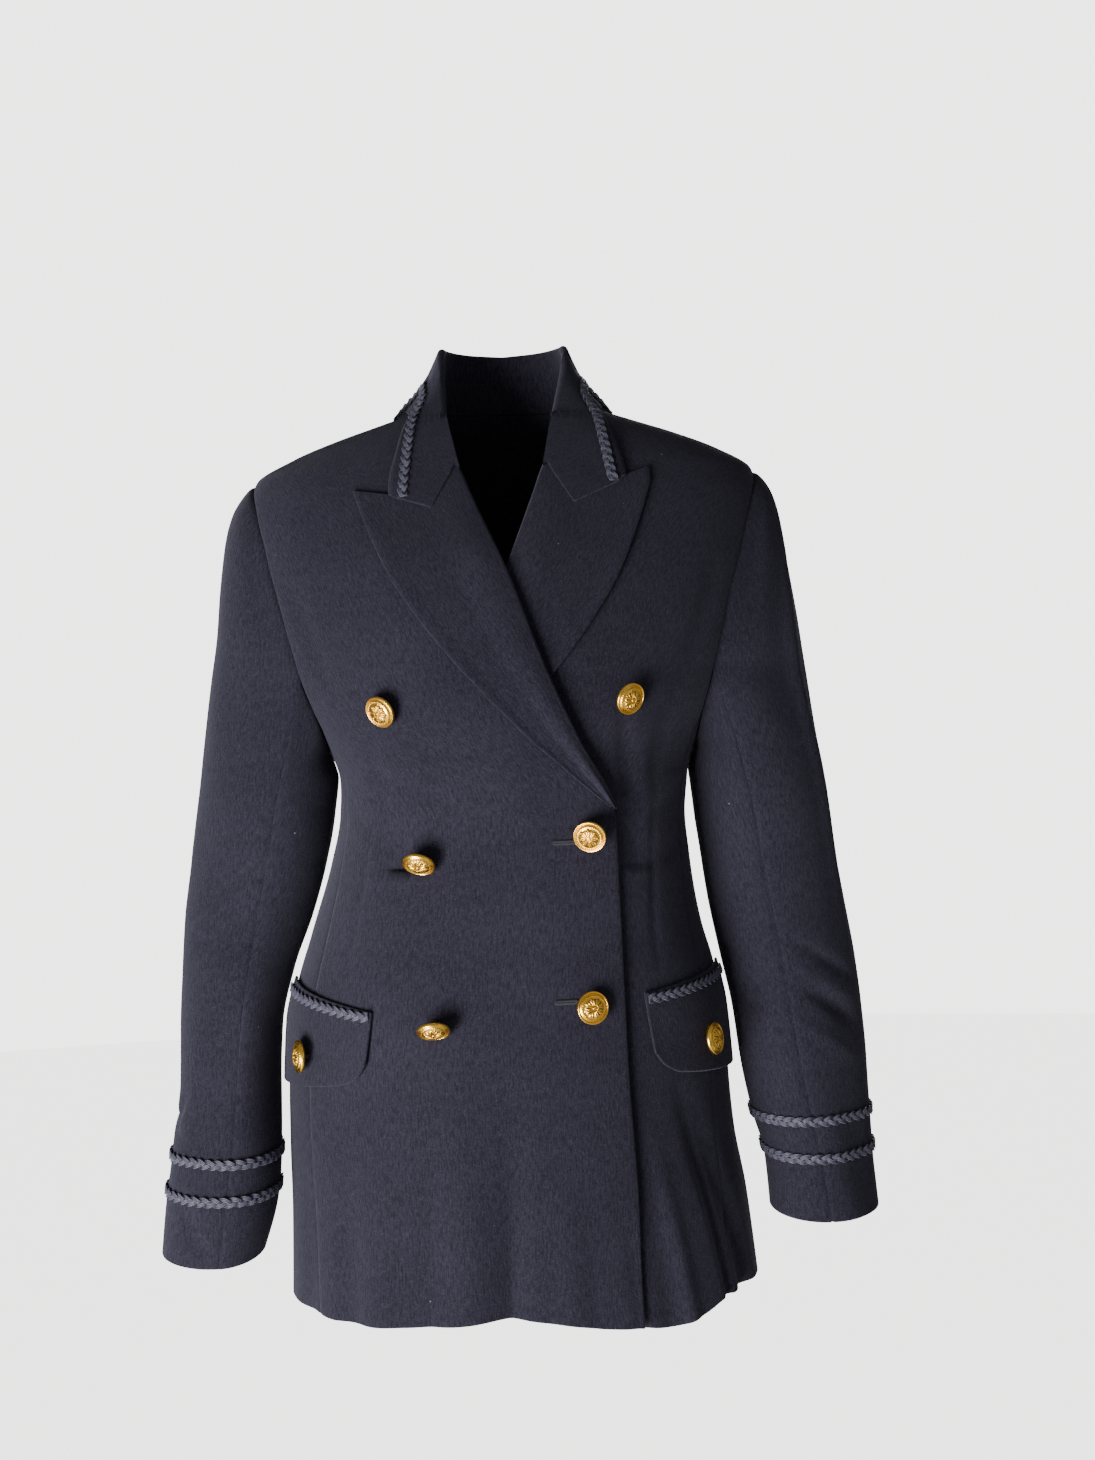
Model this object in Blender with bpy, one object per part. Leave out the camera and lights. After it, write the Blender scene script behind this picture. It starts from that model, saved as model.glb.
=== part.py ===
"""Double-breasted blazer with peak lapels, worn shape, hollow, cloth walls about 2 mm thick.

Units in the tables are millimetres and degrees. +Z is up, the front of the jacket faces -Y, and
+X is the wearer's left. The origin lies between the two shoulder points, at the height where the
collar meets the shoulders.

The body is a stack of level rings. A place on it is an angle (0 front middle, 90 the wearer's
left side, 180 back middle, negative on the wearer's right) and a height. Every panel, flap,
lapel and braid is a range of that surface, lifted by the layers under it.
"""
from collections import namedtuple
from functools import lru_cache
from math import cos, degrees, pi, radians, sin

import bmesh
import bpy
import numpy as np

MM = 0.001
SEAM_GAP = 0.34
CLOTH = 2.0
LAPEL_CLOTH = 1.8
FLAP_CLOTH = 2.4
NAP_GAP = 0.75

RIGHT = -1
LEFT = 1
SIDES = ((RIGHT, "right"), (LEFT, "left"))

# ------------------------------------------------------------------ materials
NAVY = (0.0135, 0.0140, 0.0235)
NAVY_BRAID = (0.0200, 0.0235, 0.0450)
GOLD = (0.760, 0.480, 0.150)

# ------------------------------------------------------------------ body rings
Ring = namedtuple("Ring", "z half front back middle shift")
RINGS = (
    Ring(16, 64, 32, 52, 6, 4),
    Ring(8, 82, 38, 58, 5, 5),
    Ring(0, 105, 46, 66, 5, 5),
    Ring(-10, 135, 54, 74, 5, 5),
    Ring(-24, 170, 64, 82, 5, 5),
    Ring(-41, 198, 74, 91, 5, 4),
    Ring(-60, 204, 84, 98, 4, 3),
    Ring(-78, 205, 92, 103, 3, 2),
    Ring(-110, 202, 106, 109, 2, 1),
    Ring(-140, 195, 117, 113, 1, 0),
    Ring(-171, 185, 126, 115, 0, 0),
    Ring(-200, 174, 132, 114, 0, 0),
    Ring(-223, 163, 134, 111, -1, 1),
    Ring(-240, 153, 134, 108, -2, 2),
    Ring(-256, 145, 133, 105, -2, 3),
    Ring(-279, 138, 131, 101, -3, 3),
    Ring(-307, 137, 128, 98, -3, 1),
    Ring(-344, 142, 124, 97, -3, -2),
    Ring(-400, 155, 123, 107, -2, -7),
    Ring(-430, 164, 125, 117, -2, -8),
    Ring(-466, 172, 128, 128, -1, -9),
    Ring(-520, 175, 132, 137, 0, -9),
    Ring(-560, 177, 136, 141, 0, -8),
    Ring(-610, 181, 141, 145, 0, -4),
    Ring(-690, 186, 148, 149, 0, -1),
)
SQUARENESS = 0.045

# The armhole: where it crosses each height, as an angle in front and behind.
Armhole = namedtuple("Armhole", "z front back")
ARMHOLE = (
    Armhole(-41, 90.0, 90.0),
    Armhole(-48, 80.0, 99.0),
    Armhole(-60, 71.5, 106.5),
    Armhole(-78, 66.0, 112.5),
    Armhole(-95, 63.0, 115.5),
    Armhole(-140, 60.0, 118.0),
    Armhole(-171, 61.0, 118.5),
    Armhole(-200, 63.0, 117.5),
    Armhole(-223, 66.0, 115.0),
    Armhole(-238, 70.0, 112.0),
)
Underarm = namedtuple("Underarm", "angle z")
UNDERARM = (
    Underarm(63, -200),
    Underarm(66, -223),
    Underarm(70, -238),
    Underarm(77, -249),
    Underarm(84, -254.5),
    Underarm(91, -256),
    Underarm(98, -254.5),
    Underarm(105, -249),
    Underarm(112, -238),
    Underarm(115, -223),
    Underarm(117.5, -200),
)
SLEEVE_JOIN_Z = -200

# Seams between fronts, side panels and backs.
SideSeam = namedtuple("SideSeam", "z front back")
SIDE_SEAMS = (
    SideSeam(-238, 70.0, 112.0),
    SideSeam(-320, 64.0, 117.0),
    SideSeam(-450, 59.0, 121.0),
    SideSeam(-690, 56.0, 124.0),
)

# Inner border of a front: neck seam, roll line, then the front edge. x counts away from the
# panel's own side, so a negative x is on its own side and a positive x is past the middle.
FrontEdge = namedtuple("FrontEdge", "z x")
FRONT_EDGE = (
    FrontEdge(16, -60.5),
    FrontEdge(8, -60),
    FrontEdge(0, -57),
    FrontEdge(-15, -52),
    FrontEdge(-30, -41),
    FrontEdge(-45, -33),
    FrontEdge(-64, -26),
    FrontEdge(-95, -14),
    FrontEdge(-131, 0),
    FrontEdge(-190, 20),
    FrontEdge(-221, 32),
    FrontEdge(-261, 50),
    FrontEdge(-292, 66),
    FrontEdge(-312, 72),
    FrontEdge(-340, 73),
    FrontEdge(-400, 74.5),
    FrontEdge(-500, 76),
    FrontEdge(-588, 79.5),
    FrontEdge(-690, 82),
)

# The over front stands off the under front and its lapel where the two overlap.
OVERLAP_LIFT = 5.6
OVERLAP_IN_X = -84
OVERLAP_OUT_X = -150
OVERLAP_TOP_Z = -66
OVERLAP_FULL_Z = -128

# Heights of the cloth rows, from the neck to the hem.
SHOULDER_ROWS = (16, 11, 5, -3, -14, -27)
CHEST_ROWS = (-41, -48, -59, -77, -100, -125, -150, -175, -200, -220, -238)
SKIRT_ROWS = (-256, -279, -308, -338, -370, -402, -436, -470, -506, -544, -582, -618, -650, -676)
HEM_Z = -676

# Hem: how much lower than HEM_Z it hangs, by angle.
Hem = namedtuple("Hem", "angle drop")
HEM = (
    Hem(-180, 4), Hem(-150, 1), Hem(-120, 5), Hem(-90, 1), Hem(-62, 2), Hem(-50, 4), Hem(-36, 3),
    Hem(-20, 1), Hem(-6, -4), Hem(6, 0), Hem(16, 6), Hem(26, 10), Hem(34, 13), Hem(42, 9),
    Hem(52, 1), Hem(90, -1), Hem(120, 4), Hem(150, 0), Hem(180, 4),
)

# Long folds of the skirt and chest: a trough of the given depth runs from top to bottom.
Fold = namedtuple("Fold", "top_angle top_z end_angle end_z half_width depth")
FOLDS = (
    Fold(-23, -520, -27, -700, 17, 4.5),
    Fold(-3, -500, -4, -700, 15, 5.0),
    Fold(44, -500, 64, -690, 15, 9.0),
    Fold(30, -560, 34, -700, 11, 3.0),
    Fold(-58, -540, -60, -700, 18, 4.0),
    Fold(86, -500, 90, -700, 22, 5.0),
    Fold(-86, -500, -92, -700, 24, 4.5),
    Fold(140, -480, 138, -700, 26, 5.0),
    Fold(-150, -470, -146, -700, 28, 5.5),
    Fold(176, -560, 178, -700, 20, 3.0),
    Fold(34, -232, 38, -330, 13, 4.0),
    Fold(-36, -236, -34, -330, 16, 3.0),
    Fold(152, -120, 146, -300, 24, 3.5),
    Fold(-150, -110, -147, -290, 24, 3.0),
)

# ------------------------------------------------------------------ sleeves
Sleeve = namedtuple("Sleeve", "z outer seam inner front back")
SLEEVES = {
    RIGHT: (
        Sleeve(-41, 195, 194, 194, 5, 5),
        Sleeve(-46, 200.5, 192, 192, -10, 20),
        Sleeve(-54, 207, 192, 188, -25, 35),
        Sleeve(-66, 214, 188, 170, -35, 40),
        Sleeve(-82, 219, 184, 150, -45, 50),
        Sleeve(-125, 226, 178, 150, -52, 56),
        Sleeve(-160, 230, 174, 150, -54, 58),
        Sleeve(-200, 237, 167, 146, -56, 58),
        Sleeve(-256, 246, 172, 146, -60, 60),
        Sleeve(-279, 249, 178, 139.5, -60, 60),
        Sleeve(-307, 253, 184, 141, -59, 58),
        Sleeve(-344, 258, 191, 148.5, -56, 54),
        Sleeve(-384, 264, 200, 160.5, -54, 50),
        Sleeve(-426, 267, 208, 176.5, -56, 45),
        Sleeve(-470, 269, 214, 187, -59, 39),
        Sleeve(-512, 269, 218, 189, -64, 31),
        Sleeve(-540, 272, 221, 189, -70, 25),
        Sleeve(-570, 275, 225, 189.5, -76, 18),
        Sleeve(-598, 279, 229, 192, -80, 12),
        Sleeve(-650, 284, 236, 207, -86, 3),
    ),
    LEFT: (
        Sleeve(-41, 203, 202, 202, 5, 5),
        Sleeve(-46, 208.5, 200, 200, -10, 20),
        Sleeve(-54, 214.5, 200, 190, -25, 35),
        Sleeve(-66, 220, 192, 170, -35, 40),
        Sleeve(-82, 224, 188, 150, -45, 50),
        Sleeve(-125, 230, 180, 150, -52, 56),
        Sleeve(-160, 235, 176, 150, -54, 58),
        Sleeve(-200, 240, 167, 146, -56, 58),
        Sleeve(-256, 248, 175, 152, -60, 60),
        Sleeve(-279, 252, 180, 145.5, -60, 60),
        Sleeve(-307, 256, 186, 146, -59, 59),
        Sleeve(-344, 260, 191, 150, -57, 56),
        Sleeve(-384, 265, 198, 155, -55, 53),
        Sleeve(-426, 270, 205, 162.5, -56, 49),
        Sleeve(-470, 274, 211, 171, -57, 45),
        Sleeve(-515, 276, 217, 176, -60, 40),
        Sleeve(-555, 276, 224, 183, -66, 33),
        Sleeve(-585, 276, 229, 190.5, -71, 26),
        Sleeve(-612, 277, 232, 192, -76, 19),
        Sleeve(-645, 279, 234, 193, -80, 12),
    ),
}
CUFF_Z = {RIGHT: -637, LEFT: -624}
CUFF_TILT = {RIGHT: 6.0, LEFT: 5.0}
SLEEVE_CAP_ROWS = (-43.5, -48, -55, -66, -83, -108, -138, -170, -200)
SLEEVE_ARM_ROWS = (-228, -258, -294, -332, -370, -408, -446, -484, -518, -548, -578, -608)
TOP_SLEEVE_EDGE = 0.0065
UNDER_SLEEVE_EDGE = 0.0080
UNDER_SLEEVE_BLEND = 62
UNDER_SLEEVE_CURVE = 190

SleeveFold = namedtuple("SleeveFold", "top turn_top end turn_end half_width depth")
SLEEVE_FOLDS = {
    RIGHT: (
        SleeveFold(-150, 0.30, -560, 0.40, 20, 4.0),
        SleeveFold(-330, 0.10, -420, 0.20, 12, 2.5),
        SleeveFold(-500, 0.80, -560, 0.25, 9, 2.5),
    ),
    LEFT: (
        SleeveFold(-110, 0.24, -260, 0.28, 14, 3.5),
        SleeveFold(-300, 0.62, -480, 0.70, 20, 3.5),
        SleeveFold(-440, 0.12, -500, 0.32, 10, 2.5),
    ),
}

# ------------------------------------------------------------------ collar, lapels, flaps
# A station of the collar: where its seam, its fold and its outer edge are. The outer edge and the
# seam are places on the body (angle, height); the fold is a point in space. turn is 0 at the back
# middle and 1 at the front end.
Collar = namedtuple("Collar", "turn seam_angle seam_z fold_x fold_y fold_z edge_angle edge_z belly")
COLLAR = (
    Collar(0.00, 180, 16, 0, 59, 65, 180, -24, 1.2),
    Collar(0.16, 158, 16, 24, 54, 66, 157, -20, 1.2),
    Collar(0.32, 135, 16, 41, 41, 66.5, 133, -9, 0.8),
    Collar(0.48, 108, 16, 49, 21, 66, 110, 7.8, -1),
    Collar(0.60, 88, 16, 50, 6, 58, 86, 11, -2.6),
    Collar(0.68, 74, 12, 48.5, -8, 43, 49, 3.6, -2.6),
    Collar(0.76, 60, 2, 46.5, -22, 25, 35.5, -8.6, -1.4),
    Collar(0.84, 40, -12, 44, -38, 5, 28.5, -24.5, 0),
    Collar(0.92, 24, -25, 40, -54, -15, 26.2, -42, 1),
    Collar(1.00, 14, -37, 36, -68, -37, 26.3, -57.3, 1.2),
)
COLLAR_CLOTH = 2.0
COLLAR_FOLD_RADIUS = 3.4
COLLAR_LIFT = 3.6
COLLAR_LOFT = 4.7
COLLAR_LEAN = 6.0
COLLAR_TO_SEAM = 2.6
COLLAR_OVER_SEAM = 1.9
COLLAR_FRONT_FROM = 0.60
COLLAR_END_FROM = 0.80
GORGE_CORNER = {RIGHT: (54, -71.6), LEFT: (54, -70.4)}
# How far the end of the outer edge is moved on each side: angle and height.
COLLAR_TIP = {RIGHT: (0, 0), LEFT: (3.1, 9.5)}
GORGE_CORNER_AT = 0.36
COLLAR_STATIONS = 33
COLLAR_FALL_POINTS = 5
# Distance from the collar's outer edge to the braid, near its ends and round the neck.
COLLAR_BRAID_FROM_EDGE = (12.5, 24.0)
COLLAR_BRAID_TURNS = (0.60, 0.78)

# Outer edge of a lapel (x counted as in FRONT_EDGE, so a negative x is on the lapel's own side).
LapelEdge = namedtuple("LapelEdge", "z x")
LAPEL_EDGE = (
    LapelEdge(-58, -113),
    LapelEdge(-89, -102),
    LapelEdge(-130, -84),
    LapelEdge(-169, -59),
    LapelEdge(-204, -31),
    LapelEdge(-241, 3),
    LapelEdge(-272, 35),
    LapelEdge(-300, 66),
)
LapelTop = namedtuple("LapelTop", "across x z")
LAPEL_TOP = {
    RIGHT: (
        LapelTop(0.0, -113, -58.5),
        LapelTop(0.34, -83, -63.6),
        LapelTop(0.70, -54, -73.4),
        LapelTop(1.0, -35, -41.5),
    ),
    LEFT: (
        LapelTop(0.0, -113, -45.5),
        LapelTop(0.26, -94, -53),
        LapelTop(0.70, -54, -72.2),
        LapelTop(1.0, -35, -41.5),
    ),
}
LAPEL_BOTTOM_Z = -301
LAPEL_ROLL = 3.0
LAPEL_WRAP_NEAR = 0.7
LAPEL_WRAP_STEP = 1.1
LAPEL_WRAP_DROP = 0.6

Flap = namedtuple("Flap", "across top bottom")
FLAP_FRONT_X = {RIGHT: -109, LEFT: 92.5}
FLAP_RAISE = {RIGHT: 0, LEFT: 6.5}
FLAP_BACK_ANGLE = 82
FLAP_OUTLINE = (
    Flap(0.00, -451, -488),
    Flap(0.06, -450, -498),
    Flap(0.16, -447.8, -504),
    Flap(0.50, -441, -508.5),
    Flap(1.00, -433, -511),
)
FLAP_LIFT = 0.9
FLAP_FLARE = 2.2
FLAP_SLANT = 5.0

# ------------------------------------------------------------------ braid and buttons
BRAID_WIDTH = 9.0
BRAID_HEIGHT = 3.0
BRAID_GAP = 0.8
COLLAR_BRAID_GAP = 1.6
BRAID_SWELL = 0.16
CUFF_BRAID_ABOVE = {RIGHT: (73, 47), LEFT: (72, 45)}
BRAID_ON_FLAP_AT = 0.08

# A button's face is turned down by droop and to the wearer's left by lean, in degrees.
Button = namedtuple("Button", "name layer x z droop lean")
FRONT_BUTTONS = (
    Button("button_right_1", RIGHT, -90.2, -225, 19.5, -11.5),
    Button("button_right_2", RIGHT, -66.5, -335.4, 50, 1),
    Button("button_right_3", RIGHT, -62.4, -457, 60, 8),
    Button("button_left_1", LEFT, 85.1, -222.3, 17, 12),
    Button("button_left_2", RIGHT, 53, -321, 18, -30),
    Button("button_left_3", RIGHT, 49.4, -450.7, 1, 8),
)
FlapButton = namedtuple("FlapButton", "name side angle z droop lean")
FLAP_BUTTONS = (
    FlapButton("button_flap_right", RIGHT, 55.8, -486, 1, -17.5),
    FlapButton("button_flap_left", LEFT, 54.2, -484.5, -3.5, 7),
)
BUTTON_STAND = 5.5
BUTTON_REST = 0.5
ButtonRing = namedtuple("ButtonRing", "radius height")
BUTTON_PROFILE = (
    ButtonRing(5.1, 5.0),
    ButtonRing(9.1, 3.5),
    ButtonRing(10.7, 2.5),
    ButtonRing(11.4, 2.9),
    ButtonRing(12.4, 1.8),
    ButtonRing(11.7, 0.0),
    ButtonRing(2.1, -0.3),
)
BUTTON_CROWN = 5.5
BUTTON_RADIUS = 12.4
BUTTON_HANG = 0.45
SHANK_RADIUS = 1.9
BUTTON_SEGMENTS = 16


# ------------------------------------------------------------------ reading the tables
@lru_cache(maxsize=None)
def smooth_slopes(table, column):
    """Keys, values and slopes of one column, for a smooth curve that doesn't overshoot."""
    rows = sorted(table, key=lambda row: row[0])
    keys = np.array([row[0] for row in rows], float)
    values = np.array([getattr(row, column) for row in rows], float)
    steps = np.diff(values) / np.diff(keys)
    slopes = np.zeros(len(keys))
    slopes[0] = steps[0]
    slopes[-1] = steps[-1]
    for i in range(1, len(keys) - 1):
        if steps[i - 1] * steps[i] > 0:
            slopes[i] = 2 * steps[i - 1] * steps[i] / (steps[i - 1] + steps[i])
    return keys, values, slopes


def read(table, column, at):
    """Value of a column at a place between the table's rows."""
    keys, values, slopes = smooth_slopes(table, column)
    at = min(max(at, keys[0]), keys[-1])
    i = min(int(np.searchsorted(keys, at, side="right")) - 1, len(keys) - 2)
    width = keys[i + 1] - keys[i]
    t = (at - keys[i]) / width
    first = values[i] * (2 * t**3 - 3 * t**2 + 1) + slopes[i] * width * (t**3 - 2 * t**2 + t)
    last = values[i + 1] * (3 * t**2 - 2 * t**3) + slopes[i + 1] * width * (t**3 - t**2)
    return first + last


def ease(value, low, high):
    """0 below low, 1 above high, and smooth between them."""
    t = min(max((value - low) / (high - low), 0.0), 1.0)
    return t * t * (3 - 2 * t)


def mix(a, b, t):
    return a + (b - a) * t


# ------------------------------------------------------------------ the body surface
def trough(angle, z):
    """Depth of the folds at a place on the body."""
    half = read(RINGS, "half", z)
    depth = 0.0
    for fold in FOLDS:
        along = (z - fold.top_z) / (fold.end_z - fold.top_z)
        if not 0 < along < 1.2:
            continue
        middle = mix(fold.top_angle, fold.end_angle, along)
        away = (angle - middle + 180) % 360 - 180
        spread = abs(radians(away)) * half / fold.half_width
        if spread < 2:
            depth += fold.depth * min(along, 1) * 0.5 * (1 + cos(pi * spread / 2)) * (1 - 0.35 * spread)
    return depth


def ring_point(angle, z):
    """Point on the outer face of the cloth, before any layer's lift."""
    height = z + read(HEM, "drop", (angle + 180) % 360 - 180) * -ease(-z, 540, -HEM_Z)
    half = read(RINGS, "half", z)
    depth = read(RINGS, "front" if cos(radians(angle)) > 0 else "back", z)
    s, c = sin(radians(angle)), cos(radians(angle))
    swell = 1 + SQUARENESS * sin(2 * radians(angle)) ** 2
    x, y = half * s * swell, -depth * c * swell
    away = np.array([x / half**2, y / depth**2])
    away = away / np.linalg.norm(away) * trough(angle, z)
    return np.array([x - away[0] + read(RINGS, "shift", z), y - away[1] + read(RINGS, "middle", z), height])


def body(angle, z, lift=0.0):
    """Point at a lift above the body surface."""
    point = ring_point(angle, z)
    if not lift:
        return point
    around = ring_point(angle + 0.5, z) - ring_point(angle - 0.5, z)
    upward = ring_point(angle, z + 1.0) - ring_point(angle, z - 1.0)
    normal = np.cross(around, upward)
    return point + normal / np.linalg.norm(normal) * lift


@lru_cache(maxsize=None)
def angle_at(x, z):
    """Angle on the front half where the body has this x."""
    low, high = -90.0, 90.0
    for _ in range(40):
        middle = (low + high) / 2
        s = sin(radians(middle))
        swell = 1 + SQUARENESS * sin(2 * radians(middle)) ** 2
        if read(RINGS, "half", z) * s * swell + read(RINGS, "shift", z) < x:
            low = middle
        else:
            high = middle
    return (low + high) / 2


def over_lift(angle, z):
    """Stand-off of the over front from the body surface."""
    x = ring_point(angle, z)[0]
    return OVERLAP_LIFT * ease(x, OVERLAP_OUT_X, OVERLAP_IN_X) * ease(-z, -OVERLAP_TOP_Z, -OVERLAP_FULL_Z)


def front_lift(side, angle, z):
    return over_lift(angle, z) if side == RIGHT else 0.0


# ------------------------------------------------------------------ solids
def material(name, colour, roughness, metallic):
    made = bpy.data.materials.new(name)
    made.use_nodes = True
    shader = made.node_tree.nodes["Principled BSDF"]
    shader.inputs["Base Color"].default_value = (*colour, 1)
    shader.inputs["Roughness"].default_value = roughness
    shader.inputs["Metallic"].default_value = metallic
    return made


def add_solid(name, points, faces, look):
    mesh = bpy.data.meshes.new(name)
    mesh.from_pydata([tuple(MM * p) for p in points], [], faces)
    turned = bmesh.new()
    turned.from_mesh(mesh)
    bmesh.ops.recalc_face_normals(turned, faces=turned.faces)
    turned.to_mesh(mesh)
    turned.free()
    mesh.shade_smooth()
    mesh.set_sharp_from_angle(angle=radians(40))
    mesh.materials.append(look)
    made = bpy.data.objects.new(name, mesh)
    bpy.context.scene.collection.objects.link(made)
    return made


def add_wall(name, outer, inner, look):
    """Closed solid between two grids of points. Rows run down, and columns run so that each face
    of the outer grid looks outwards."""
    rows, columns = len(outer), len(outer[0])
    points = [p for row in outer for p in row] + [p for row in inner for p in row]
    back = rows * columns
    faces = []
    for i in range(rows - 1):
        for j in range(columns - 1):
            a, b = i * columns + j, i * columns + j + 1
            c, d = a + columns, b + columns
            faces.append((a, c, d, b))
            faces.append((back + a, back + b, back + d, back + c))
    last = (rows - 1) * columns
    for j in range(columns - 1):
        faces.append((j, j + 1, back + j + 1, back + j))
        faces.append((last + j + 1, last + j, back + last + j, back + last + j + 1))
    for i in range(rows - 1):
        a, b = i * columns, (i + 1) * columns
        faces.append((b, a, back + a, back + b))
        a, b = a + columns - 1, b + columns - 1
        faces.append((a, b, back + b, back + a))
    return add_solid(name, points, faces, look)


def grid_normals(grid):
    """Unit normals of a grid of points, pointing out of the outer face."""
    grid = np.array(grid)
    normal = np.cross(np.gradient(grid, axis=0), np.gradient(grid, axis=1))
    return normal / np.linalg.norm(normal, axis=2, keepdims=True)


def add_cloth(name, place, rows, columns, thickness, look):
    """Wall of even thickness under the surface that place(row, column) gives."""
    outer = np.array([[place(r, c) for c in columns] for r in rows])
    inner = outer - grid_normals(outer) * thickness
    return add_wall(name, outer, inner, look)


def body_panel(name, rows, columns, place_angle, place_z, lift, look):
    """Panel on the body: place_angle(z, across) and place_z(row, across) give its places."""
    outer, inner = [], []
    for row in rows:
        outer_row, inner_row = [], []
        for across in np.linspace(0, 1, columns):
            z = place_z(row, across)
            angle = place_angle(z, across)
            raised = lift(angle, z)
            outer_row.append(body(angle, z, raised))
            inner_row.append(body(angle, z, raised - CLOTH))
        outer.append(outer_row)
        inner.append(inner_row)
    return add_wall(name, outer, inner, look)


def trim(z):
    """Angle that half a seam's gap takes up at this height."""
    return degrees(SEAM_GAP / 2 / read(RINGS, "half", z))


# ------------------------------------------------------------------ fronts, sides and backs
def border_angle(side, z):
    """Inner border of a front: neck seam, roll line and front edge."""
    return angle_at(-side * read(FRONT_EDGE, "x", z), z)


def outer_angle(z, column):
    """Outer border of a front or back: shoulder seam, armhole or side seam."""
    if z > ARMHOLE[0].z:
        return 90.0
    table = ARMHOLE if z > ARMHOLE[-1].z else SIDE_SEAMS
    return read(table, column, z)


def add_front(side, label, look):
    def place_angle(z, across):
        outer = side * (outer_angle(z, "front") - trim(z))
        inner = border_angle(side, z)
        near = inner if side == LEFT else outer
        far = outer if side == LEFT else inner
        return mix(near, far, across)

    rows = SHOULDER_ROWS + CHEST_ROWS + SKIRT_ROWS
    body_panel(
        f"front_{label}", rows, 14, place_angle, lambda row, across: row,
        lambda angle, z: front_lift(side, angle, z), look,
    )


def add_back(side, label, look):
    def place_angle(z, across):
        outer = side * (outer_angle(z, "back") + trim(z))
        middle = side * (180 - trim(z))
        near = outer if side == LEFT else middle
        far = middle if side == LEFT else outer
        return mix(near, far, across)

    rows = SHOULDER_ROWS + CHEST_ROWS + SKIRT_ROWS
    body_panel(f"back_{label}", rows, 9, place_angle, lambda row, across: row, lambda angle, z: 0.0, look)


def add_side_panel(side, label, look):
    top_row = SKIRT_ROWS[0]
    share = (CHEST_ROWS[-1] - top_row) / (CHEST_ROWS[-1] - SKIRT_ROWS[1])

    def angle_on(z, across):
        table_z = min(z, ARMHOLE[-1].z)
        front = read(SIDE_SEAMS, "front", table_z) + trim(z)
        back = read(SIDE_SEAMS, "back", table_z) - trim(z)
        t = across if side == LEFT else 1 - across
        return side * mix(front, back, t)

    def hole_z(across):
        return read(UNDERARM, "z", abs(angle_on(CHEST_ROWS[-1], across)))

    def place_z(row, across):
        if row > top_row:
            return hole_z(across)
        if row == top_row:
            return mix(hole_z(across), SKIRT_ROWS[1], share)
        return row

    rows = (CHEST_ROWS[-1],) + SKIRT_ROWS
    body_panel(f"side_panel_{label}", rows, 6, angle_on, place_z, lambda angle, z: 0.0, look)


# ------------------------------------------------------------------ sleeves
def sleeve_end(side, z, column):
    """Front or back seam of the sleeve at a height: on the armhole above SLEEVE_JOIN_Z."""
    table = SLEEVES[side]
    free = np.array([side * read(table, "seam", z), read(table, column, z), z])
    if z < SLEEVE_JOIN_Z - UNDER_SLEEVE_BLEND:
        return free
    hole_z = max(z, SLEEVE_JOIN_Z)
    sign = 1 if column == "front" else -1
    angle = read(ARMHOLE, column, hole_z) + sign * 2 * trim(hole_z)
    held = body(side * angle, hole_z)
    if z >= SLEEVE_JOIN_Z:
        return held
    join = np.array([
        side * read(table, "seam", SLEEVE_JOIN_Z), read(table, column, SLEEVE_JOIN_Z), SLEEVE_JOIN_Z
    ])
    return free + (held - join) * (1 - ease(SLEEVE_JOIN_Z - z, 0, UNDER_SLEEVE_BLEND))


def sleeve_trough(side, z, turn):
    """Depth of the sleeve's folds. turn is 0 at the front seam, 0.5 outside, 1 at the back seam."""
    depth = 0.0
    for fold in SLEEVE_FOLDS[side]:
        along = (z - fold.top) / (fold.end - fold.top)
        if not 0 < along < 1:
            continue
        middle = mix(fold.turn_top, fold.turn_end, along)
        spread = abs(turn - middle) * 150 / fold.half_width
        if spread < 2:
            depth += fold.depth * sin(pi * along) * 0.5 * (1 + cos(pi * spread / 2))
    return depth


def sleeve_point(side, z, turn, half):
    """Point of the outer ("outer") or inner ("inner") half of the sleeve."""
    front, back = sleeve_end(side, z, "front"), sleeve_end(side, z, "back")
    t = (1 - cos(pi * turn)) / 2
    point = mix(front, back, t)
    reach = side * read(SLEEVES[side], half, z)
    point[0] += (reach - point[0]) * sin(pi * turn)
    if half == "outer":
        point[0] -= side * sleeve_trough(side, z, turn) * sin(pi * turn)
        point[1] += sleeve_trough(side, z, turn) * cos(pi * turn)
    level = ease(-z, 480, -CUFF_Z[side])
    point[2] += CUFF_TILT[side] * level * (point[1] - (front[1] + back[1]) / 2) / 50
    return point


def sleeve_rows(side):
    return SLEEVE_ARM_ROWS + (CUFF_Z[side],)


def add_top_sleeve(side, label, look):
    turns = np.linspace(TOP_SLEEVE_EDGE, 1 - TOP_SLEEVE_EDGE, 12)
    columns = turns if side == LEFT else turns[::-1]

    def place(z, turn):
        return sleeve_point(side, z, turn, "outer")

    add_cloth(f"sleeve_top_{label}", place, SLEEVE_CAP_ROWS + sleeve_rows(side), columns, CLOTH, look)


def under_sleeve_point(side, row, turn):
    """Point of the under sleeve. Its rows are level at the seams and curve down to the underarm."""
    angle = mix(UNDERARM[0].angle, UNDERARM[-1].angle, turn)
    top_z = read(UNDERARM, "z", angle)
    held = body(side * angle, top_z) + np.array([side * 1.6, 0, -1]) * SEAM_GAP
    z = row + (top_z - SLEEVE_JOIN_Z) * (1 - ease(SLEEVE_JOIN_Z - row, 0, UNDER_SLEEVE_CURVE))
    at_top = sleeve_point(side, top_z, turn, "inner")
    fade = 1 - ease(top_z - z, 0, UNDER_SLEEVE_BLEND)
    return sleeve_point(side, z, turn, "inner") + (held - at_top) * fade


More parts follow.
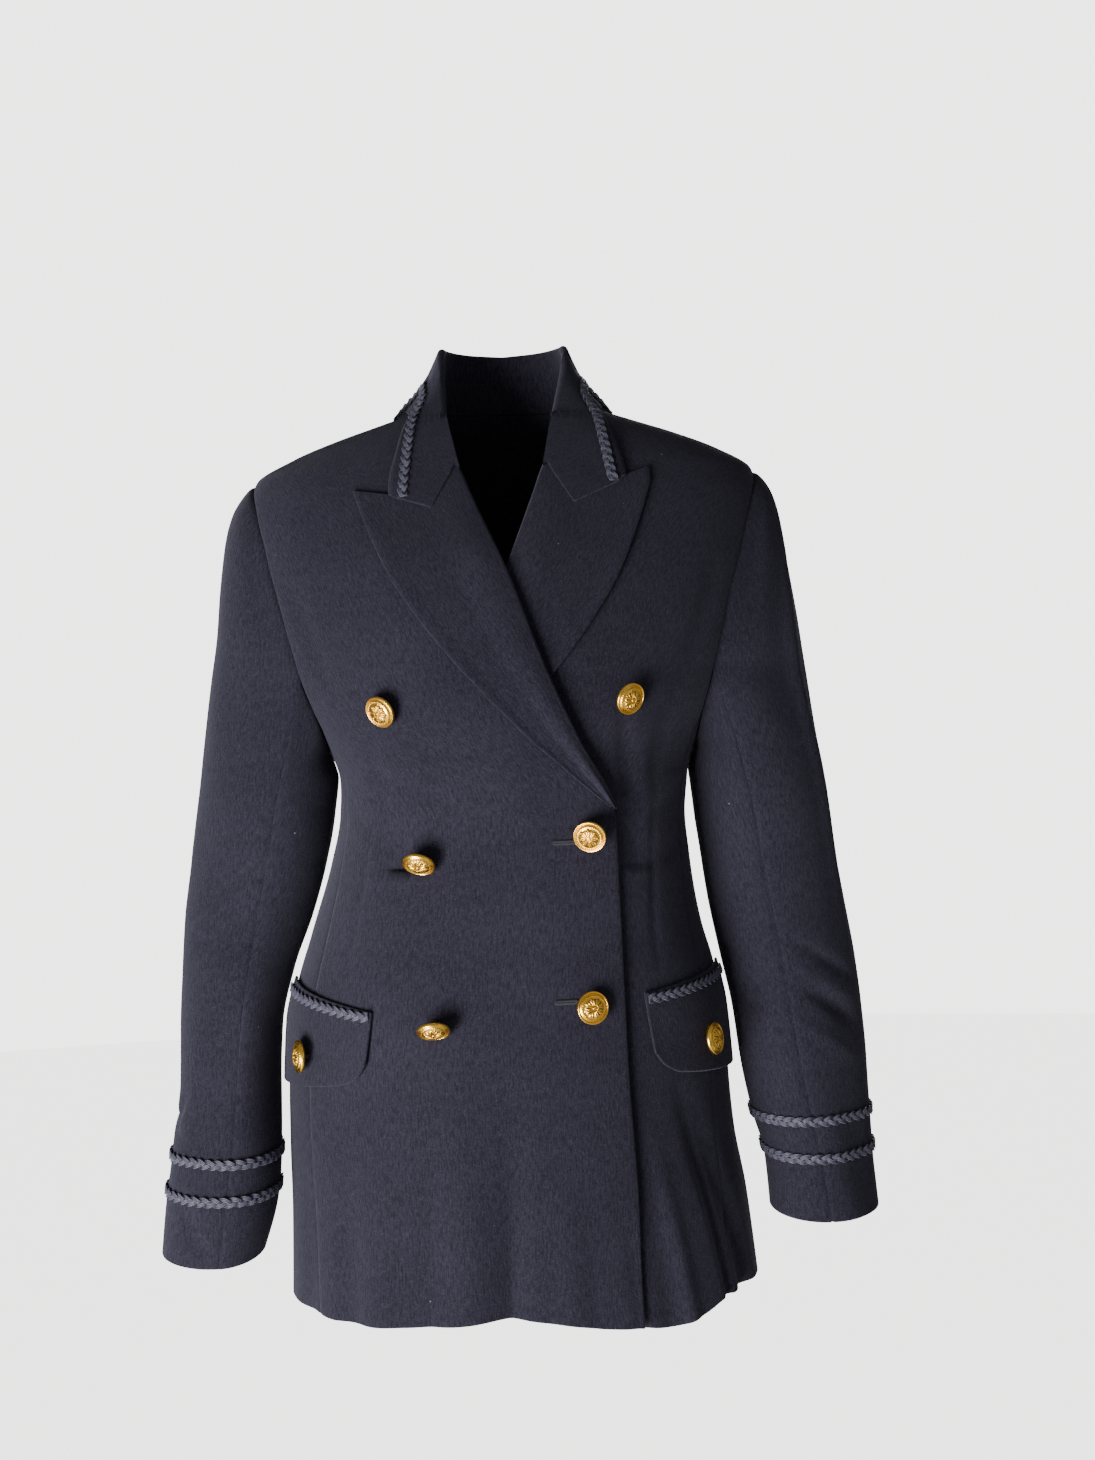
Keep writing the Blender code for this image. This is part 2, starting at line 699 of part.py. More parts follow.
def add_under_sleeve(side, label, look):
    turns = np.linspace(UNDER_SLEEVE_EDGE, 1 - UNDER_SLEEVE_EDGE, 11)
    columns = turns[::-1] if side == LEFT else turns

    def place(row, turn):
        return under_sleeve_point(side, row, turn)

    add_cloth(f"sleeve_under_{label}", place, (SLEEVE_JOIN_Z,) + sleeve_rows(side), columns, CLOTH, look)


# ------------------------------------------------------------------ collar
def front_place(x, z, lift):
    """Point over the front half of the body at a given x and height."""
    return body(angle_at(x, z), z, lift)


def collar_seam(side, at):
    """Lower edge of the stand, on the neck seam of the backs and fronts."""
    z = read(COLLAR, "seam_z", at)
    if at < COLLAR_FRONT_FROM:
        held = body(side * read(COLLAR, "seam_angle", at), z, -CLOTH - SEAM_GAP)
    else:
        border = abs(border_angle(side, z))
        back_off = degrees(COLLAR_TO_SEAM / read(RINGS, "half", z))
        held = body(side * (border - back_off), z, -CLOTH)
    return held + np.array([0, 0, COLLAR_OVER_SEAM])


def collar_section(turn):
    """Points of the upper face at a station, from the seam over the fold to the outer edge."""
    side = LEFT if turn > 0 else RIGHT
    at = abs(turn)
    seam = collar_seam(side, at)
    fold = np.array([read(COLLAR, column, at) for column in ("fold_x", "fold_y", "fold_z")])
    fold[0] = side * fold[0] + COLLAR_LEAN * ease(fold[2], -10, 60)
    bent = ease(at, COLLAR_END_FROM, 1)
    tip_angle, tip_z = COLLAR_TIP[side]
    edge_angle = read(COLLAR, "edge_angle", at) + tip_angle * bent
    edge = body(side * edge_angle, read(COLLAR, "edge_z", at) + tip_z * bent, COLLAR_LIFT)
    out = edge - seam
    out[2] = 0
    out = out / np.linalg.norm(out)
    over = fold - np.array([0, 0, COLLAR_FOLD_RADIUS])
    section = [mix(seam, over - out * COLLAR_FOLD_RADIUS, t) for t in (0, 0.5)]
    for bend in (0, 60, 120, 180):
        round_out = -out * cos(radians(bend)) + np.array([0, 0, sin(radians(bend))])
        rounded = over + round_out * COLLAR_FOLD_RADIUS
        section.append(clear_of_front(rounded) if bend else rounded)
    start = section[-1]
    corner_x, corner_z = GORGE_CORNER[side]
    corner = front_place(side * corner_x, corner_z, COLLAR_LIFT)
    belly = read(COLLAR, "belly", at)
    for step in range(1, COLLAR_FALL_POINTS + 1):
        t = step / COLLAR_FALL_POINTS
        straight = mix(start, edge, t) + out * (belly * sin(pi * t))
        if t < GORGE_CORNER_AT:
            turned = mix(start, corner, t / GORGE_CORNER_AT)
        else:
            turned = mix(corner, edge, (t - GORGE_CORNER_AT) / (1 - GORGE_CORNER_AT))
        point = mix(straight, turned, bent)
        section.append(clear_of_front(point) if step < COLLAR_FALL_POINTS else edge)
    return section


def clear_of_front(point):
    """Move a collar point forwards until it lies above the front."""
    x, y, z = point
    if z > 2 or y > 0:
        return point
    lifted = front_place(x, z, COLLAR_LOFT) - front_place(x, z, 0)
    over = front_place(x - lifted[0], z - lifted[2], COLLAR_LOFT)
    return np.array([x, min(y, over[1]), z])


def add_collar(look):
    turns = np.linspace(-1, 1, COLLAR_STATIONS)
    outer = np.array([collar_section(turn) for turn in turns[::-1]]).transpose(1, 0, 2)
    inner = outer - grid_normals(outer) * COLLAR_CLOTH
    add_wall("collar", outer, inner, look)


# ------------------------------------------------------------------ lapels and flaps
def lapel_place(side, across, down):
    """x (own side negative) and height of a place on a lapel, 0 to 1 across from its outer edge
    to the roll line, and 0 to 1 down from the gorge to the break."""
    top = LAPEL_TOP[side]
    edge_z = mix(top[0].z, LAPEL_BOTTOM_Z, down)
    roll_z = mix(top[-1].z, LAPEL_BOTTOM_Z - 2, down)
    tip_shift = (top[0].x - LAPEL_EDGE[0].x) * (1 - ease(down, 0, 0.2))
    edge = np.array([read(LAPEL_EDGE, "x", edge_z) + tip_shift, edge_z])
    roll = np.array([read(FRONT_EDGE, "x", roll_z), roll_z])
    brow = np.array([np.interp(across, [row.across for row in top], [row.x for row in top]),
                     np.interp(across, [row.across for row in top], [row.z for row in top])])
    straight_brow = mix(np.array([top[0].x, top[0].z]), np.array([top[-1].x, top[-1].z]), across)
    return mix(edge, roll, across) + (brow - straight_brow) * (1 - down)


def lapel_point(side, across, down, above):
    """Point at a height above the lapel's inner face. Past 1 across, the cloth turns down round
    the border of the front."""
    x, z = lapel_place(side, min(across, 1.0), down)
    past = max(across - 1.0, 0.0)
    if past:
        x += LAPEL_WRAP_NEAR + above * LAPEL_WRAP_STEP
        above = 0.0
    angle = angle_at(-side * x, z)
    roll = sin(pi * ease(across, 0.55, 1.15)) * LAPEL_ROLL * ease(down, -0.1, 0.3)
    if side == LEFT:
        roll *= 1 - ease(down, 0.22, 0.4)
    lift = front_lift(side, angle, z) + (-LAPEL_WRAP_DROP if past else NAP_GAP + roll)
    return body(angle, z, lift + above)


def add_lapel(side, label, look):
    acrosses = np.array([0, 0.12, 0.34, 0.52, 0.70, 0.82, 0.92, 1.0, 1.1])
    downs = np.array([0, 0.03, 0.08, 0.15, 0.23, 0.31, 0.39, 0.47, 0.55, 0.63, 0.71, 0.79, 0.87, 0.94, 1.0])
    order = acrosses if side == RIGHT else acrosses[::-1]
    outer = [[lapel_point(side, a, d, LAPEL_CLOTH) for a in order] for d in downs]
    inner = [[lapel_point(side, a, d, 0) for a in order] for d in downs]
    add_wall(f"lapel_{label}", outer, inner, look)


def flap_ends(side, across):
    """Heights of the top and the bottom of a flap."""
    raised = FLAP_RAISE[side] * (1 - 0.7 * across)
    return read(FLAP_OUTLINE, "top", across) + raised, read(FLAP_OUTLINE, "bottom", across)


def flap_place(side, across, down):
    z = mix(*flap_ends(side, across), down)
    front = angle_at(FLAP_FRONT_X[side] + side * FLAP_SLANT * down, z)
    return mix(front, side * FLAP_BACK_ANGLE, across), z


def flap_point(side, across, down, above):
    """Point at a height above the flap's inner face."""
    angle, z = flap_place(side, across, down)
    lift = front_lift(side, angle, z) + FLAP_LIFT + FLAP_FLARE * down**2 * (1 - 0.55 * across)
    return body(angle, z, lift + above)


def add_flap(side, label, look):
    acrosses = np.array([0, 0.03, 0.08, 0.16, 0.3, 0.45, 0.6, 0.75, 0.88, 1.0])
    downs = np.linspace(0, 1, 6)
    order = acrosses if side == LEFT else acrosses[::-1]
    outer = [[flap_point(side, a, d, FLAP_CLOTH) for a in order] for d in downs]
    inner = [[flap_point(side, a, d, 0) for a in order] for d in downs]
    add_wall(f"flap_{label}", outer, inner, look)


# ------------------------------------------------------------------ braid
def add_braid(name, path, outs, look, closed=False, gap=BRAID_GAP):
    """Plaited strip along a path of points, each with the direction out of the cloth under it."""
    path, outs = np.array(path), np.array(outs)
    if closed:
        ahead = np.roll(path, -1, axis=0) - np.roll(path, 1, axis=0)
    else:
        ahead = np.gradient(path, axis=0)
    ahead = ahead / np.linalg.norm(ahead, axis=1, keepdims=True)
    aside = np.cross(outs, ahead)
    aside = aside / np.linalg.norm(aside, axis=1, keepdims=True)
    outs = np.cross(ahead, aside)
    count = len(path)
    swell = 1 + BRAID_SWELL * np.where(np.arange(count) % 2 == 0, 1, -1)
    half = BRAID_WIDTH / 2 * swell[:, None]
    tall = BRAID_HEIGHT * (0.85 + 0.15 * swell[:, None])
    low = path + outs * gap
    high = path + outs * (gap + tall)
    rails = [low - aside * half, high - aside * half * 0.55, high + aside * half * 0.55, low + aside * half]
    points = [rail[i] for i in range(count) for rail in rails]
    faces = []
    for i in range(count if closed else count - 1):
        k = (i + 1) % count
        for j in range(4):
            n = (j + 1) % 4
            faces.append((4 * i + j, 4 * i + n, 4 * k + n, 4 * k + j))
    if not closed:
        faces.append((3, 2, 1, 0))
        faces.append(tuple(4 * (count - 1) + j for j in range(4)))
    add_solid(name, points, faces, look)


def cuff_ring(side, z, turn):
    """Point and outward direction on the sleeve at a height; turn runs 0 to 2 round it."""
    half, t = ("outer", turn) if turn <= 1 else ("inner", 2 - turn)
    point = sleeve_point(side, z, t, half)
    around = sleeve_point(side, z, t + 0.01, half) - sleeve_point(side, z, t - 0.01, half)
    down = sleeve_point(side, z - 3, t, half) - sleeve_point(side, z + 3, t, half)
    out = np.cross(around, down) * (-1 if (half == "outer") == (side == LEFT) else 1)
    return point, out / np.linalg.norm(out)


def add_cuff_braid(name, side, above, look):
    z = CUFF_Z[side] + above
    count = 38
    turns = np.arange(count) / count * 2
    rings = [cuff_ring(side, z, turn) for turn in (turns if side == RIGHT else turns[::-1])]
    add_braid(name, [point for point, out in rings], [out for point, out in rings], look, closed=True)


def add_flap_braid(side, label, look):
    acrosses = np.linspace(0.01, 0.96, 20)
    order = acrosses if side == RIGHT else acrosses[::-1]
    path = [flap_point(side, a, BRAID_ON_FLAP_AT, FLAP_CLOTH) for a in order]
    above = [flap_point(side, a, BRAID_ON_FLAP_AT, FLAP_CLOTH + 1) for a in order]
    outs = [high - low for high, low in zip(above, path)]
    add_braid(f"braid_flap_{label}", path, outs, look)


def add_collar_braid(look):
    """Along the fall of the collar, from its end on one front round the back to the other."""
    path, outs = [], []
    for turn in np.linspace(-0.985, 0.985, 57):
        section = collar_section(turn)
        after = collar_section(min(turn + 0.01, 1.0))
        before = collar_section(max(turn - 0.01, -1.0))
        away = mix(*COLLAR_BRAID_FROM_EDGE, 1 - ease(abs(turn), *COLLAR_BRAID_TURNS))
        last = len(section) - 1
        while away > np.linalg.norm(section[last] - section[last - 1]):
            away -= np.linalg.norm(section[last] - section[last - 1])
            last -= 1
        share = away / np.linalg.norm(section[last] - section[last - 1])
        path.append(mix(section[last], section[last - 1], share))
        out = np.cross(after[last] - before[last], section[last] - section[last - 1])
        outs.append(out / np.linalg.norm(out))
    add_braid("braid_collar", path[::-1], outs[::-1], look, gap=COLLAR_BRAID_GAP)


# ------------------------------------------------------------------ buttons
def add_button(name, seat, out, droop, lean, look):
    """Domed button on a shank, its face turned down and to one side of the cloth's outward direction."""
    out = out / np.linalg.norm(out)
    aside = np.cross(np.array([0.0, 0.0, 1.0]), out)
    aside = aside / np.linalg.norm(aside)
    upward = np.cross(out, aside)
    angle = radians(float(np.hypot(droop, lean)))
    tipped = aside * lean - upward * droop
    tipped = tipped / np.linalg.norm(tipped)
    axis = out * cos(angle) + tipped * sin(angle)
    rise = out * sin(angle) - tipped * cos(angle)
    stand = max(BUTTON_STAND, BUTTON_RADIUS * sin(angle) + BUTTON_REST)
    centre = seat + out * stand + tipped * sin(angle) * BUTTON_HANG * stand
    foot = seat + out * (SEAM_GAP + 0.1)
    rings = [(centre + axis * ring.height, np.cross(rise, axis), rise, ring.radius) for ring in BUTTON_PROFILE]
    rings.append((foot, np.cross(-tipped, out), -tipped, SHANK_RADIUS))
    points = [centre + axis * BUTTON_CROWN]
    for middle, first, second, radius in rings:
        for i in range(BUTTON_SEGMENTS):
            turn = 2 * pi * i / BUTTON_SEGMENTS
            points.append(middle + (first * cos(turn) + second * sin(turn)) * radius)
    faces = []
    for i in range(BUTTON_SEGMENTS):
        k = (i + 1) % BUTTON_SEGMENTS
        faces.append((0, 1 + i, 1 + k))
        for level in range(len(rings) - 1):
            a = 1 + level * BUTTON_SEGMENTS
            b = a + BUTTON_SEGMENTS
            faces.append((a + i, b + i, b + k, a + k))
    last = 1 + (len(rings) - 1) * BUTTON_SEGMENTS
    faces.append(tuple(last + i for i in range(BUTTON_SEGMENTS))[::-1])
    add_solid(name, points, faces, look)


def add_buttons(look):
    for button in FRONT_BUTTONS:
        angle = angle_at(button.x, button.z)
        lift = front_lift(button.layer, angle, button.z)
        seat = body(angle, button.z, lift)
        out = body(angle, button.z, lift + 1) - seat
        add_button(button.name, seat, out, button.droop, button.lean, look)
    for button in FLAP_BUTTONS:
        across, down = flap_coordinates(button.side, button.angle, button.z)
        seat = flap_point(button.side, across, down, FLAP_CLOTH)
        above = flap_point(button.side, across, down, FLAP_CLOTH + 1)
        add_button(button.name, seat, above - seat, button.droop, button.lean, look)


def flap_coordinates(side, angle, z):
    """Place on a flap, as its across and down shares, of a body angle and height."""
    front = abs(angle_at(FLAP_FRONT_X[side], z))
    across = (angle - front) / (FLAP_BACK_ANGLE - front)
    top, bottom = flap_ends(side, across)
    return across, (z - top) / (bottom - top)


def main():
    for old in list(bpy.data.objects):
        bpy.data.objects.remove(old)
    cloth = material("wool_navy", NAVY, 0.9, 0.0)
    braid = material("braid_navy", NAVY_BRAID, 0.8, 0.0)
    gold = material("button_gold", GOLD, 0.3, 1.0)
    for side, label in SIDES:
        add_front(side, label, cloth)
        add_back(side, label, cloth)
        add_side_panel(side, label, cloth)
        add_top_sleeve(side, label, cloth)
        add_under_sleeve(side, label, cloth)
        add_lapel(side, label, cloth)
        add_flap(side, label, cloth)
        add_flap_braid(side, label, braid)
        upper, lower = CUFF_BRAID_ABOVE[side]
        add_cuff_braid(f"braid_cuff_{label}_upper", side, upper, braid)
        add_cuff_braid(f"braid_cuff_{label}_lower", side, lower, braid)
    add_collar(cloth)
    add_collar_braid(braid)
    add_buttons(gold)


main()
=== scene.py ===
"""Looks of a long double-breasted blazer: napped wool shells, plaited braid and domed buttons.

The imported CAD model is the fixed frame. Every piece here follows the same body, sleeve and collar
surfaces as the CAD solids, at a finer step, with the creases, seam grooves and rolled edges of real
cloth. Lengths in the tables are millimetres and angles are degrees, where nothing else is said. +Z is
up, the front of the blazer faces -Y, and +X is the wearer's left.
"""
from collections import namedtuple
from functools import lru_cache
from math import cos, pi, radians, sin

import bpy
import numpy as np
from bpy.props import FloatProperty, FloatVectorProperty, IntProperty, PointerProperty
from mathutils import Matrix, Vector


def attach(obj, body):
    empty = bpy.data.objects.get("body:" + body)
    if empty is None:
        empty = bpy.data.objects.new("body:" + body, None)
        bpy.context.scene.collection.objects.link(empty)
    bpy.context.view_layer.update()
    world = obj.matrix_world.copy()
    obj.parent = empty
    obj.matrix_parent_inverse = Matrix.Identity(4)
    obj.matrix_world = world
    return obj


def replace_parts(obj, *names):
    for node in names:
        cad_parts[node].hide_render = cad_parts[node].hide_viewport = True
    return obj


bl_info = {
    "name": "Double-breasted blazer",
    "version": (1, 0, 0),
    "blender": (4, 5, 0),
    "location": "3D View > Sidebar > Blazer",
    "description": "Builds the wool, braid and buttons of a blazer round its CAD model",
    "category": "Add Mesh",
}

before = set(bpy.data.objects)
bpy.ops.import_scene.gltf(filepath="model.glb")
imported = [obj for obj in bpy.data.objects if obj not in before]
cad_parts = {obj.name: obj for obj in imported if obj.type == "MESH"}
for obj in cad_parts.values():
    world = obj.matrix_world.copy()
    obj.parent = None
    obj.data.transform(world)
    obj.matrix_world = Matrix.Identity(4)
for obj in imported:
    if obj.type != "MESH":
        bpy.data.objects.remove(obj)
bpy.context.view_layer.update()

MM = 0.001
RIGHT, LEFT = -1, 1
SIDES = ((RIGHT, "right"), (LEFT, "left"))

# Thickness of the cloth, the gap at a seam, and the gap that the nap keeps between two layers.
CLOTH, FLAP_CLOTH, LAPEL_CLOTH, COLLAR_CLOTH = 2.0, 2.4, 1.8, 2.0
SEAM_GAP = 0.34
NAP_GAP = 0.75
# Distances from a border at which a seam and an edge get lines of points of their own.
SEAM_LINES = (1.1, 2.2)
EDGE_LINES = (0.35,)
# The rounded edge of a cloth: how far down its thickness each line is, and how far it swells.
RIM = ((0.18, 0.8), (0.5, 1.15), (0.82, 0.8))
RIM_PUFF = 0.4
ALL_SEAMS = ("first", "last", "top")


def listed(kind, *rows):
    """A table: its rows as records of one kind."""
    return tuple(kind(*row) for row in rows)


# ------------------------------------------------------------------ body rings
Ring = namedtuple("Ring", "z half front back middle shift")
RINGS = listed(
    Ring, (16, 64, 32, 52, 6, 4), (8, 82, 38, 58, 5, 5), (0, 105, 46, 66, 5, 5),
    (-10, 135, 54, 74, 5, 5), (-24, 170, 64, 82, 5, 5), (-41, 198, 74, 91, 5, 4),
    (-60, 204, 84, 98, 4, 3), (-78, 205, 92, 103, 3, 2), (-110, 202, 106, 109, 2, 1),
    (-140, 195, 117, 113, 1, 0), (-171, 185, 126, 115, 0, 0), (-200, 174, 132, 114, 0, 0),
    (-223, 163, 134, 111, -1, 1), (-240, 153, 134, 108, -2, 2), (-256, 145, 133, 105, -2, 3),
    (-279, 138, 131, 101, -3, 3), (-307, 137, 128, 98, -3, 1), (-344, 142, 124, 97, -3, -2),
    (-400, 155, 123, 107, -2, -7), (-430, 164, 125, 117, -2, -8), (-466, 172, 128, 128, -1, -9),
    (-520, 175, 132, 137, 0, -9), (-560, 177, 136, 141, 0, -8), (-610, 181, 141, 145, 0, -4),
    (-690, 186, 148, 149, 0, -1))
SQUARENESS = 0.045

# The armhole, the underarm and the side seams, as angles round the body at each height.
Armhole = namedtuple("Armhole", "z front back")
ARMHOLE = listed(
    Armhole, (-41, 90.0, 90.0), (-48, 80.0, 99.0), (-60, 71.5, 106.5), (-78, 66.0, 112.5),
    (-95, 63.0, 115.5), (-140, 60.0, 118.0), (-171, 61.0, 118.5), (-200, 63.0, 117.5),
    (-223, 66.0, 115.0), (-238, 70.0, 112.0))
Underarm = namedtuple("Underarm", "angle z")
UNDERARM = listed(
    Underarm, (63, -200), (66, -223), (70, -238), (77, -249), (84, -254.5), (91, -256), (98, -254.5),
    (105, -249), (112, -238), (115, -223), (117.5, -200))
UNDERARM_Z = -238
SLEEVE_JOIN_Z = -200
SideSeam = namedtuple("SideSeam", "z front back")
SIDE_SEAMS = listed(
    SideSeam, (-238, 70.0, 112.0), (-320, 64.0, 117.0), (-450, 59.0, 121.0), (-690, 56.0, 124.0))

# Inner border of a front. A negative x is on the front's own side, a positive x past the middle.
FrontEdge = namedtuple("FrontEdge", "z x")
FRONT_EDGE = listed(
    FrontEdge, (16, -60.5), (8, -60), (0, -57), (-15, -52), (-30, -41), (-45, -33), (-64, -26),
    (-95, -14), (-131, 0), (-190, 20), (-221, 32), (-261, 50), (-292, 66), (-312, 72), (-340, 73),
    (-400, 74.5), (-500, 76), (-588, 79.5), (-690, 82))
OVERLAP_LIFT = 5.6
OVERLAP_IN_X, OVERLAP_OUT_X = -84, -150
OVERLAP_TOP_Z, OVERLAP_FULL_Z = -66, -128

NECK_Z, SHOULDER_Z, HEM_Z = 16, -41, -676
HEM_WAVES_FROM_Z = -540
Hem = namedtuple("Hem", "angle drop")
HEM = listed(
    Hem, (-180, 4), (-150, 1), (-120, 5), (-90, 1), (-62, 2), (-50, 4), (-36, 3), (-20, 1), (-6, -4),
    (6, 0), (16, 6), (26, 10), (34, 13), (42, 9), (52, 1), (90, -1), (120, 4), (150, 0), (180, 4))

# Long folds that the CAD solids have too: each runs from top to end, deepens on its way, keeps its
# depth for a little way past its end, and narrows towards its bottom.
FOLD_RUNS_TO = 1.2
FOLD_NARROWING = 0.35
Fold = namedtuple("Fold", "top_angle top_z end_angle end_z half_width depth")
FOLDS = listed(
    Fold, (-23, -520, -27, -700, 17, 4.5), (-3, -500, -4, -700, 15, 5.0), (44, -500, 64, -690, 15, 9.0),
    (30, -560, 34, -700, 11, 3.0), (-58, -540, -60, -700, 18, 4.0), (86, -500, 90, -700, 22, 5.0),
    (-86, -500, -92, -700, 24, 4.5), (140, -480, 138, -700, 26, 5.0), (-150, -470, -146, -700, 28, 5.5),
    (176, -560, 178, -700, 20, 3.0), (34, -232, 38, -330, 13, 4.0), (-36, -236, -34, -330, 16, 3.0),
    (152, -120, 146, -300, 24, 3.5), (-150, -110, -147, -290, 24, 3.0))
# Finer creases of the cloth: each fades in and out along its way, or reaches its full depth at this
# share of its way and keeps it where it runs off the hem. A negative depth is a ridge.
CREASE_FULL_AT = 0.7
Crease = namedtuple("Crease", "top_angle top_z end_angle end_z half_width depth")
CREASES = listed(
    Crease, (30, -222, 37, -312, 5, 2.6), (37, -226, 44, -330, 7, -1.6), (47, -205, 46, -300, 7, 2.0),
    (52, -110, 47, -230, 10, 2.2), (-53, -120, -48, -230, 10, 2.0), (-45, -244, -40, -330, 7, 2.0),
    (-30, -246, -33, -350, 9, -1.6), (-20, -250, -24, -390, 11, 1.6), (49, -285, 41, -440, 3.5, 1.8),
    (-48, -285, -45, -440, 4, 1.4), (42, -490, 54, -692, 5, 5.0), (33, -520, 40, -700, 6, -3.0),
    (24, -560, 26, -700, 7, 2.4), (-18, -480, -23, -700, 9, 3.4), (3, -470, -5, -700, 10, 4.2),
    (-10, -520, -14, -700, 9, -3.0), (-31, -540, -36, -700, 9, -2.6), (-42, -520, -44, -700, 10, 3.6),
    (10, -540, 10, -700, 9, -2.4), (-58, -262, -16, -300, 6, 1.3), (-64, -296, -26, -338, 7, 1.5),
    (-62, -352, -30, -366, 6, 1.1), (66, -286, 42, -322, 6, 1.3), (64, -330, 44, -352, 6, 1.1),
    (-14, -330, 14, -318, 5, 0.9), (-22, -372, 12, -352, 6, 1.0), (160, -250, 125, -300, 9, 2.0),
    (-160, -255, -124, -310, 9, 2.0), (168, -300, 140, -330, 8, 1.5), (-170, -310, -138, -345, 8, 1.6),
    (165, -80, 150, -150, 12, 1.8), (-163, -90, -148, -160, 12, 1.8), (122, -140, 126, -250, 9, 2.4),
    (-122, -130, -127, -250, 9, 2.4), (160, -500, 163, -700, 12, 2.8),
    (-168, -520, -170, -700, 12, 2.6), (120, -520, 122, -700, 12, 2.6),
    (-122, -500, -124, -700, 12, 2.6))

# Bands of mesh rows (top, bottom, how much closer than the mesh step), and the widths meshed across.
BODY_BANDS = ((NECK_Z, SHOULDER_Z, 2.6), (SHOULDER_Z, -60, 1.8), (-60, HEM_Z, 1.0))
FRONT_WIDTH = {RIGHT: 290, LEFT: 280}
BACK_WIDTH, SIDE_PANEL_WIDTH, TOP_SLEEVE_WIDTH, UNDER_SLEEVE_WIDTH = 215, 175, 170, 150

# ------------------------------------------------------------------ sleeves
Sleeve = namedtuple("Sleeve", "z outer seam inner front back")
SLEEVES = {
    RIGHT: listed(
        Sleeve, (-41, 195, 194, 194, 5, 5), (-46, 200.5, 192, 192, -10, 20),
        (-54, 207, 192, 188, -25, 35), (-66, 214, 188, 170, -35, 40), (-82, 219, 184, 150, -45, 50),
        (-125, 226, 178, 150, -52, 56), (-160, 230, 174, 150, -54, 58), (-200, 237, 167, 146, -56, 58),
        (-256, 246, 172, 146, -60, 60), (-279, 249, 178, 139.5, -60, 60),
        (-307, 253, 184, 141, -59, 58), (-344, 258, 191, 148.5, -56, 54),
        (-384, 264, 200, 160.5, -54, 50), (-426, 267, 208, 176.5, -56, 45),
        (-470, 269, 214, 187, -59, 39), (-512, 269, 218, 189, -64, 31), (-540, 272, 221, 189, -70, 25),
        (-570, 275, 225, 189.5, -76, 18), (-598, 279, 229, 192, -80, 12), (-650, 284, 236, 207, -86, 3)),
    LEFT: listed(
        Sleeve, (-41, 203, 202, 202, 5, 5), (-46, 208.5, 200, 200, -10, 20),
        (-54, 214.5, 200, 190, -25, 35), (-66, 220, 192, 170, -35, 40), (-82, 224, 188, 150, -45, 50),
        (-125, 230, 180, 150, -52, 56), (-160, 235, 176, 150, -54, 58), (-200, 240, 167, 146, -56, 58),
        (-256, 248, 175, 152, -60, 60), (-279, 252, 180, 145.5, -60, 60),
        (-307, 256, 186, 146, -59, 59), (-344, 260, 191, 150, -57, 56), (-384, 265, 198, 155, -55, 53),
        (-426, 270, 205, 162.5, -56, 49), (-470, 274, 211, 171, -57, 45),
        (-515, 276, 217, 176, -60, 40), (-555, 276, 224, 183, -66, 33),
        (-585, 276, 229, 190.5, -71, 26), (-612, 277, 232, 192, -76, 19),
        (-645, 279, 234, 193, -80, 12)),
}
CUFF_Z = {RIGHT: -637, LEFT: -624}
# How far the cuff's front is lowered, at this distance in front of the sleeve's middle.
CUFF_TILT = {RIGHT: 6.0, LEFT: 5.0}
CUFF_TILT_AT = 50
CUFF_TILT_FROM_Z = -480
CAP_TOP_Z = -43.5
CAP_BANDS = ((CAP_TOP_Z, -60, 2.4), (-60, -100, 1.4))
UNDER_SLEEVE_BLEND = 62
UNDER_SLEEVE_CURVE = 190

# Places on a sleeve are a height and a turn, from 0 at its front seam to 1 at its back seam.
SLEEVE_TURN_LENGTH = 150
SleeveFold = namedtuple("SleeveFold", "top turn_top end turn_end half_width depth")
SLEEVE_FOLDS = {
    RIGHT: listed(
        SleeveFold, (-150, 0.30, -560, 0.40, 20, 4.0), (-330, 0.10, -420, 0.20, 12, 2.5),
        (-500, 0.80, -560, 0.25, 9, 2.5)),
    LEFT: listed(
        SleeveFold, (-110, 0.24, -260, 0.28, 14, 3.5), (-300, 0.62, -480, 0.70, 20, 3.5),
        (-440, 0.12, -500, 0.32, 10, 2.5)),
}
SLEEVE_CREASES = {
    RIGHT: listed(
        SleeveFold, (-60, 0.06, -250, 0.10, 9, 2.4), (-90, 0.42, -330, 0.46, 12, 2.2),
        (-336, 0.03, -388, 0.34, 6, 2.6), (-352, 0.00, -404, 0.40, 5, -1.4),
        (-372, 0.02, -420, 0.32, 6, 2.4), (-402, 0.00, -446, 0.22, 7, -1.6),
        (-430, 0.04, -590, 0.22, 13, 3.4), (-512, 0.30, -548, 0.44, 5, 2.2),
        (-584, 0.28, -640, 0.04, 6, 2.0), (-120, 0.66, -300, 0.72, 12, 2.2),
        (-350, 0.95, -420, 0.66, 8, 2.2), (-385, 0.97, -450, 0.70, 8, 2.0)),
    LEFT: listed(
        SleeveFold, (-44, 0.33, -440, 0.34, 5, -3.2), (-44, 0.42, -430, 0.44, 8, 3.0),
        (-60, 0.08, -220, 0.10, 8, 3.2), (-80, 0.20, -300, 0.22, 10, 1.6),
        (-410, 0.02, -456, 0.36, 6, 2.6), (-428, 0.00, -472, 0.34, 5, -1.6),
        (-448, 0.04, -486, 0.32, 6, 2.4), (-476, 0.02, -512, 0.26, 6, -1.4),
        (-500, 0.18, -640, 0.26, 12, 2.6), (-120, 0.66, -300, 0.72, 12, 2.2),
        (-350, 0.95, -420, 0.66, 8, 2.2), (-385, 0.97, -450, 0.70, 8, 2.0)),
}

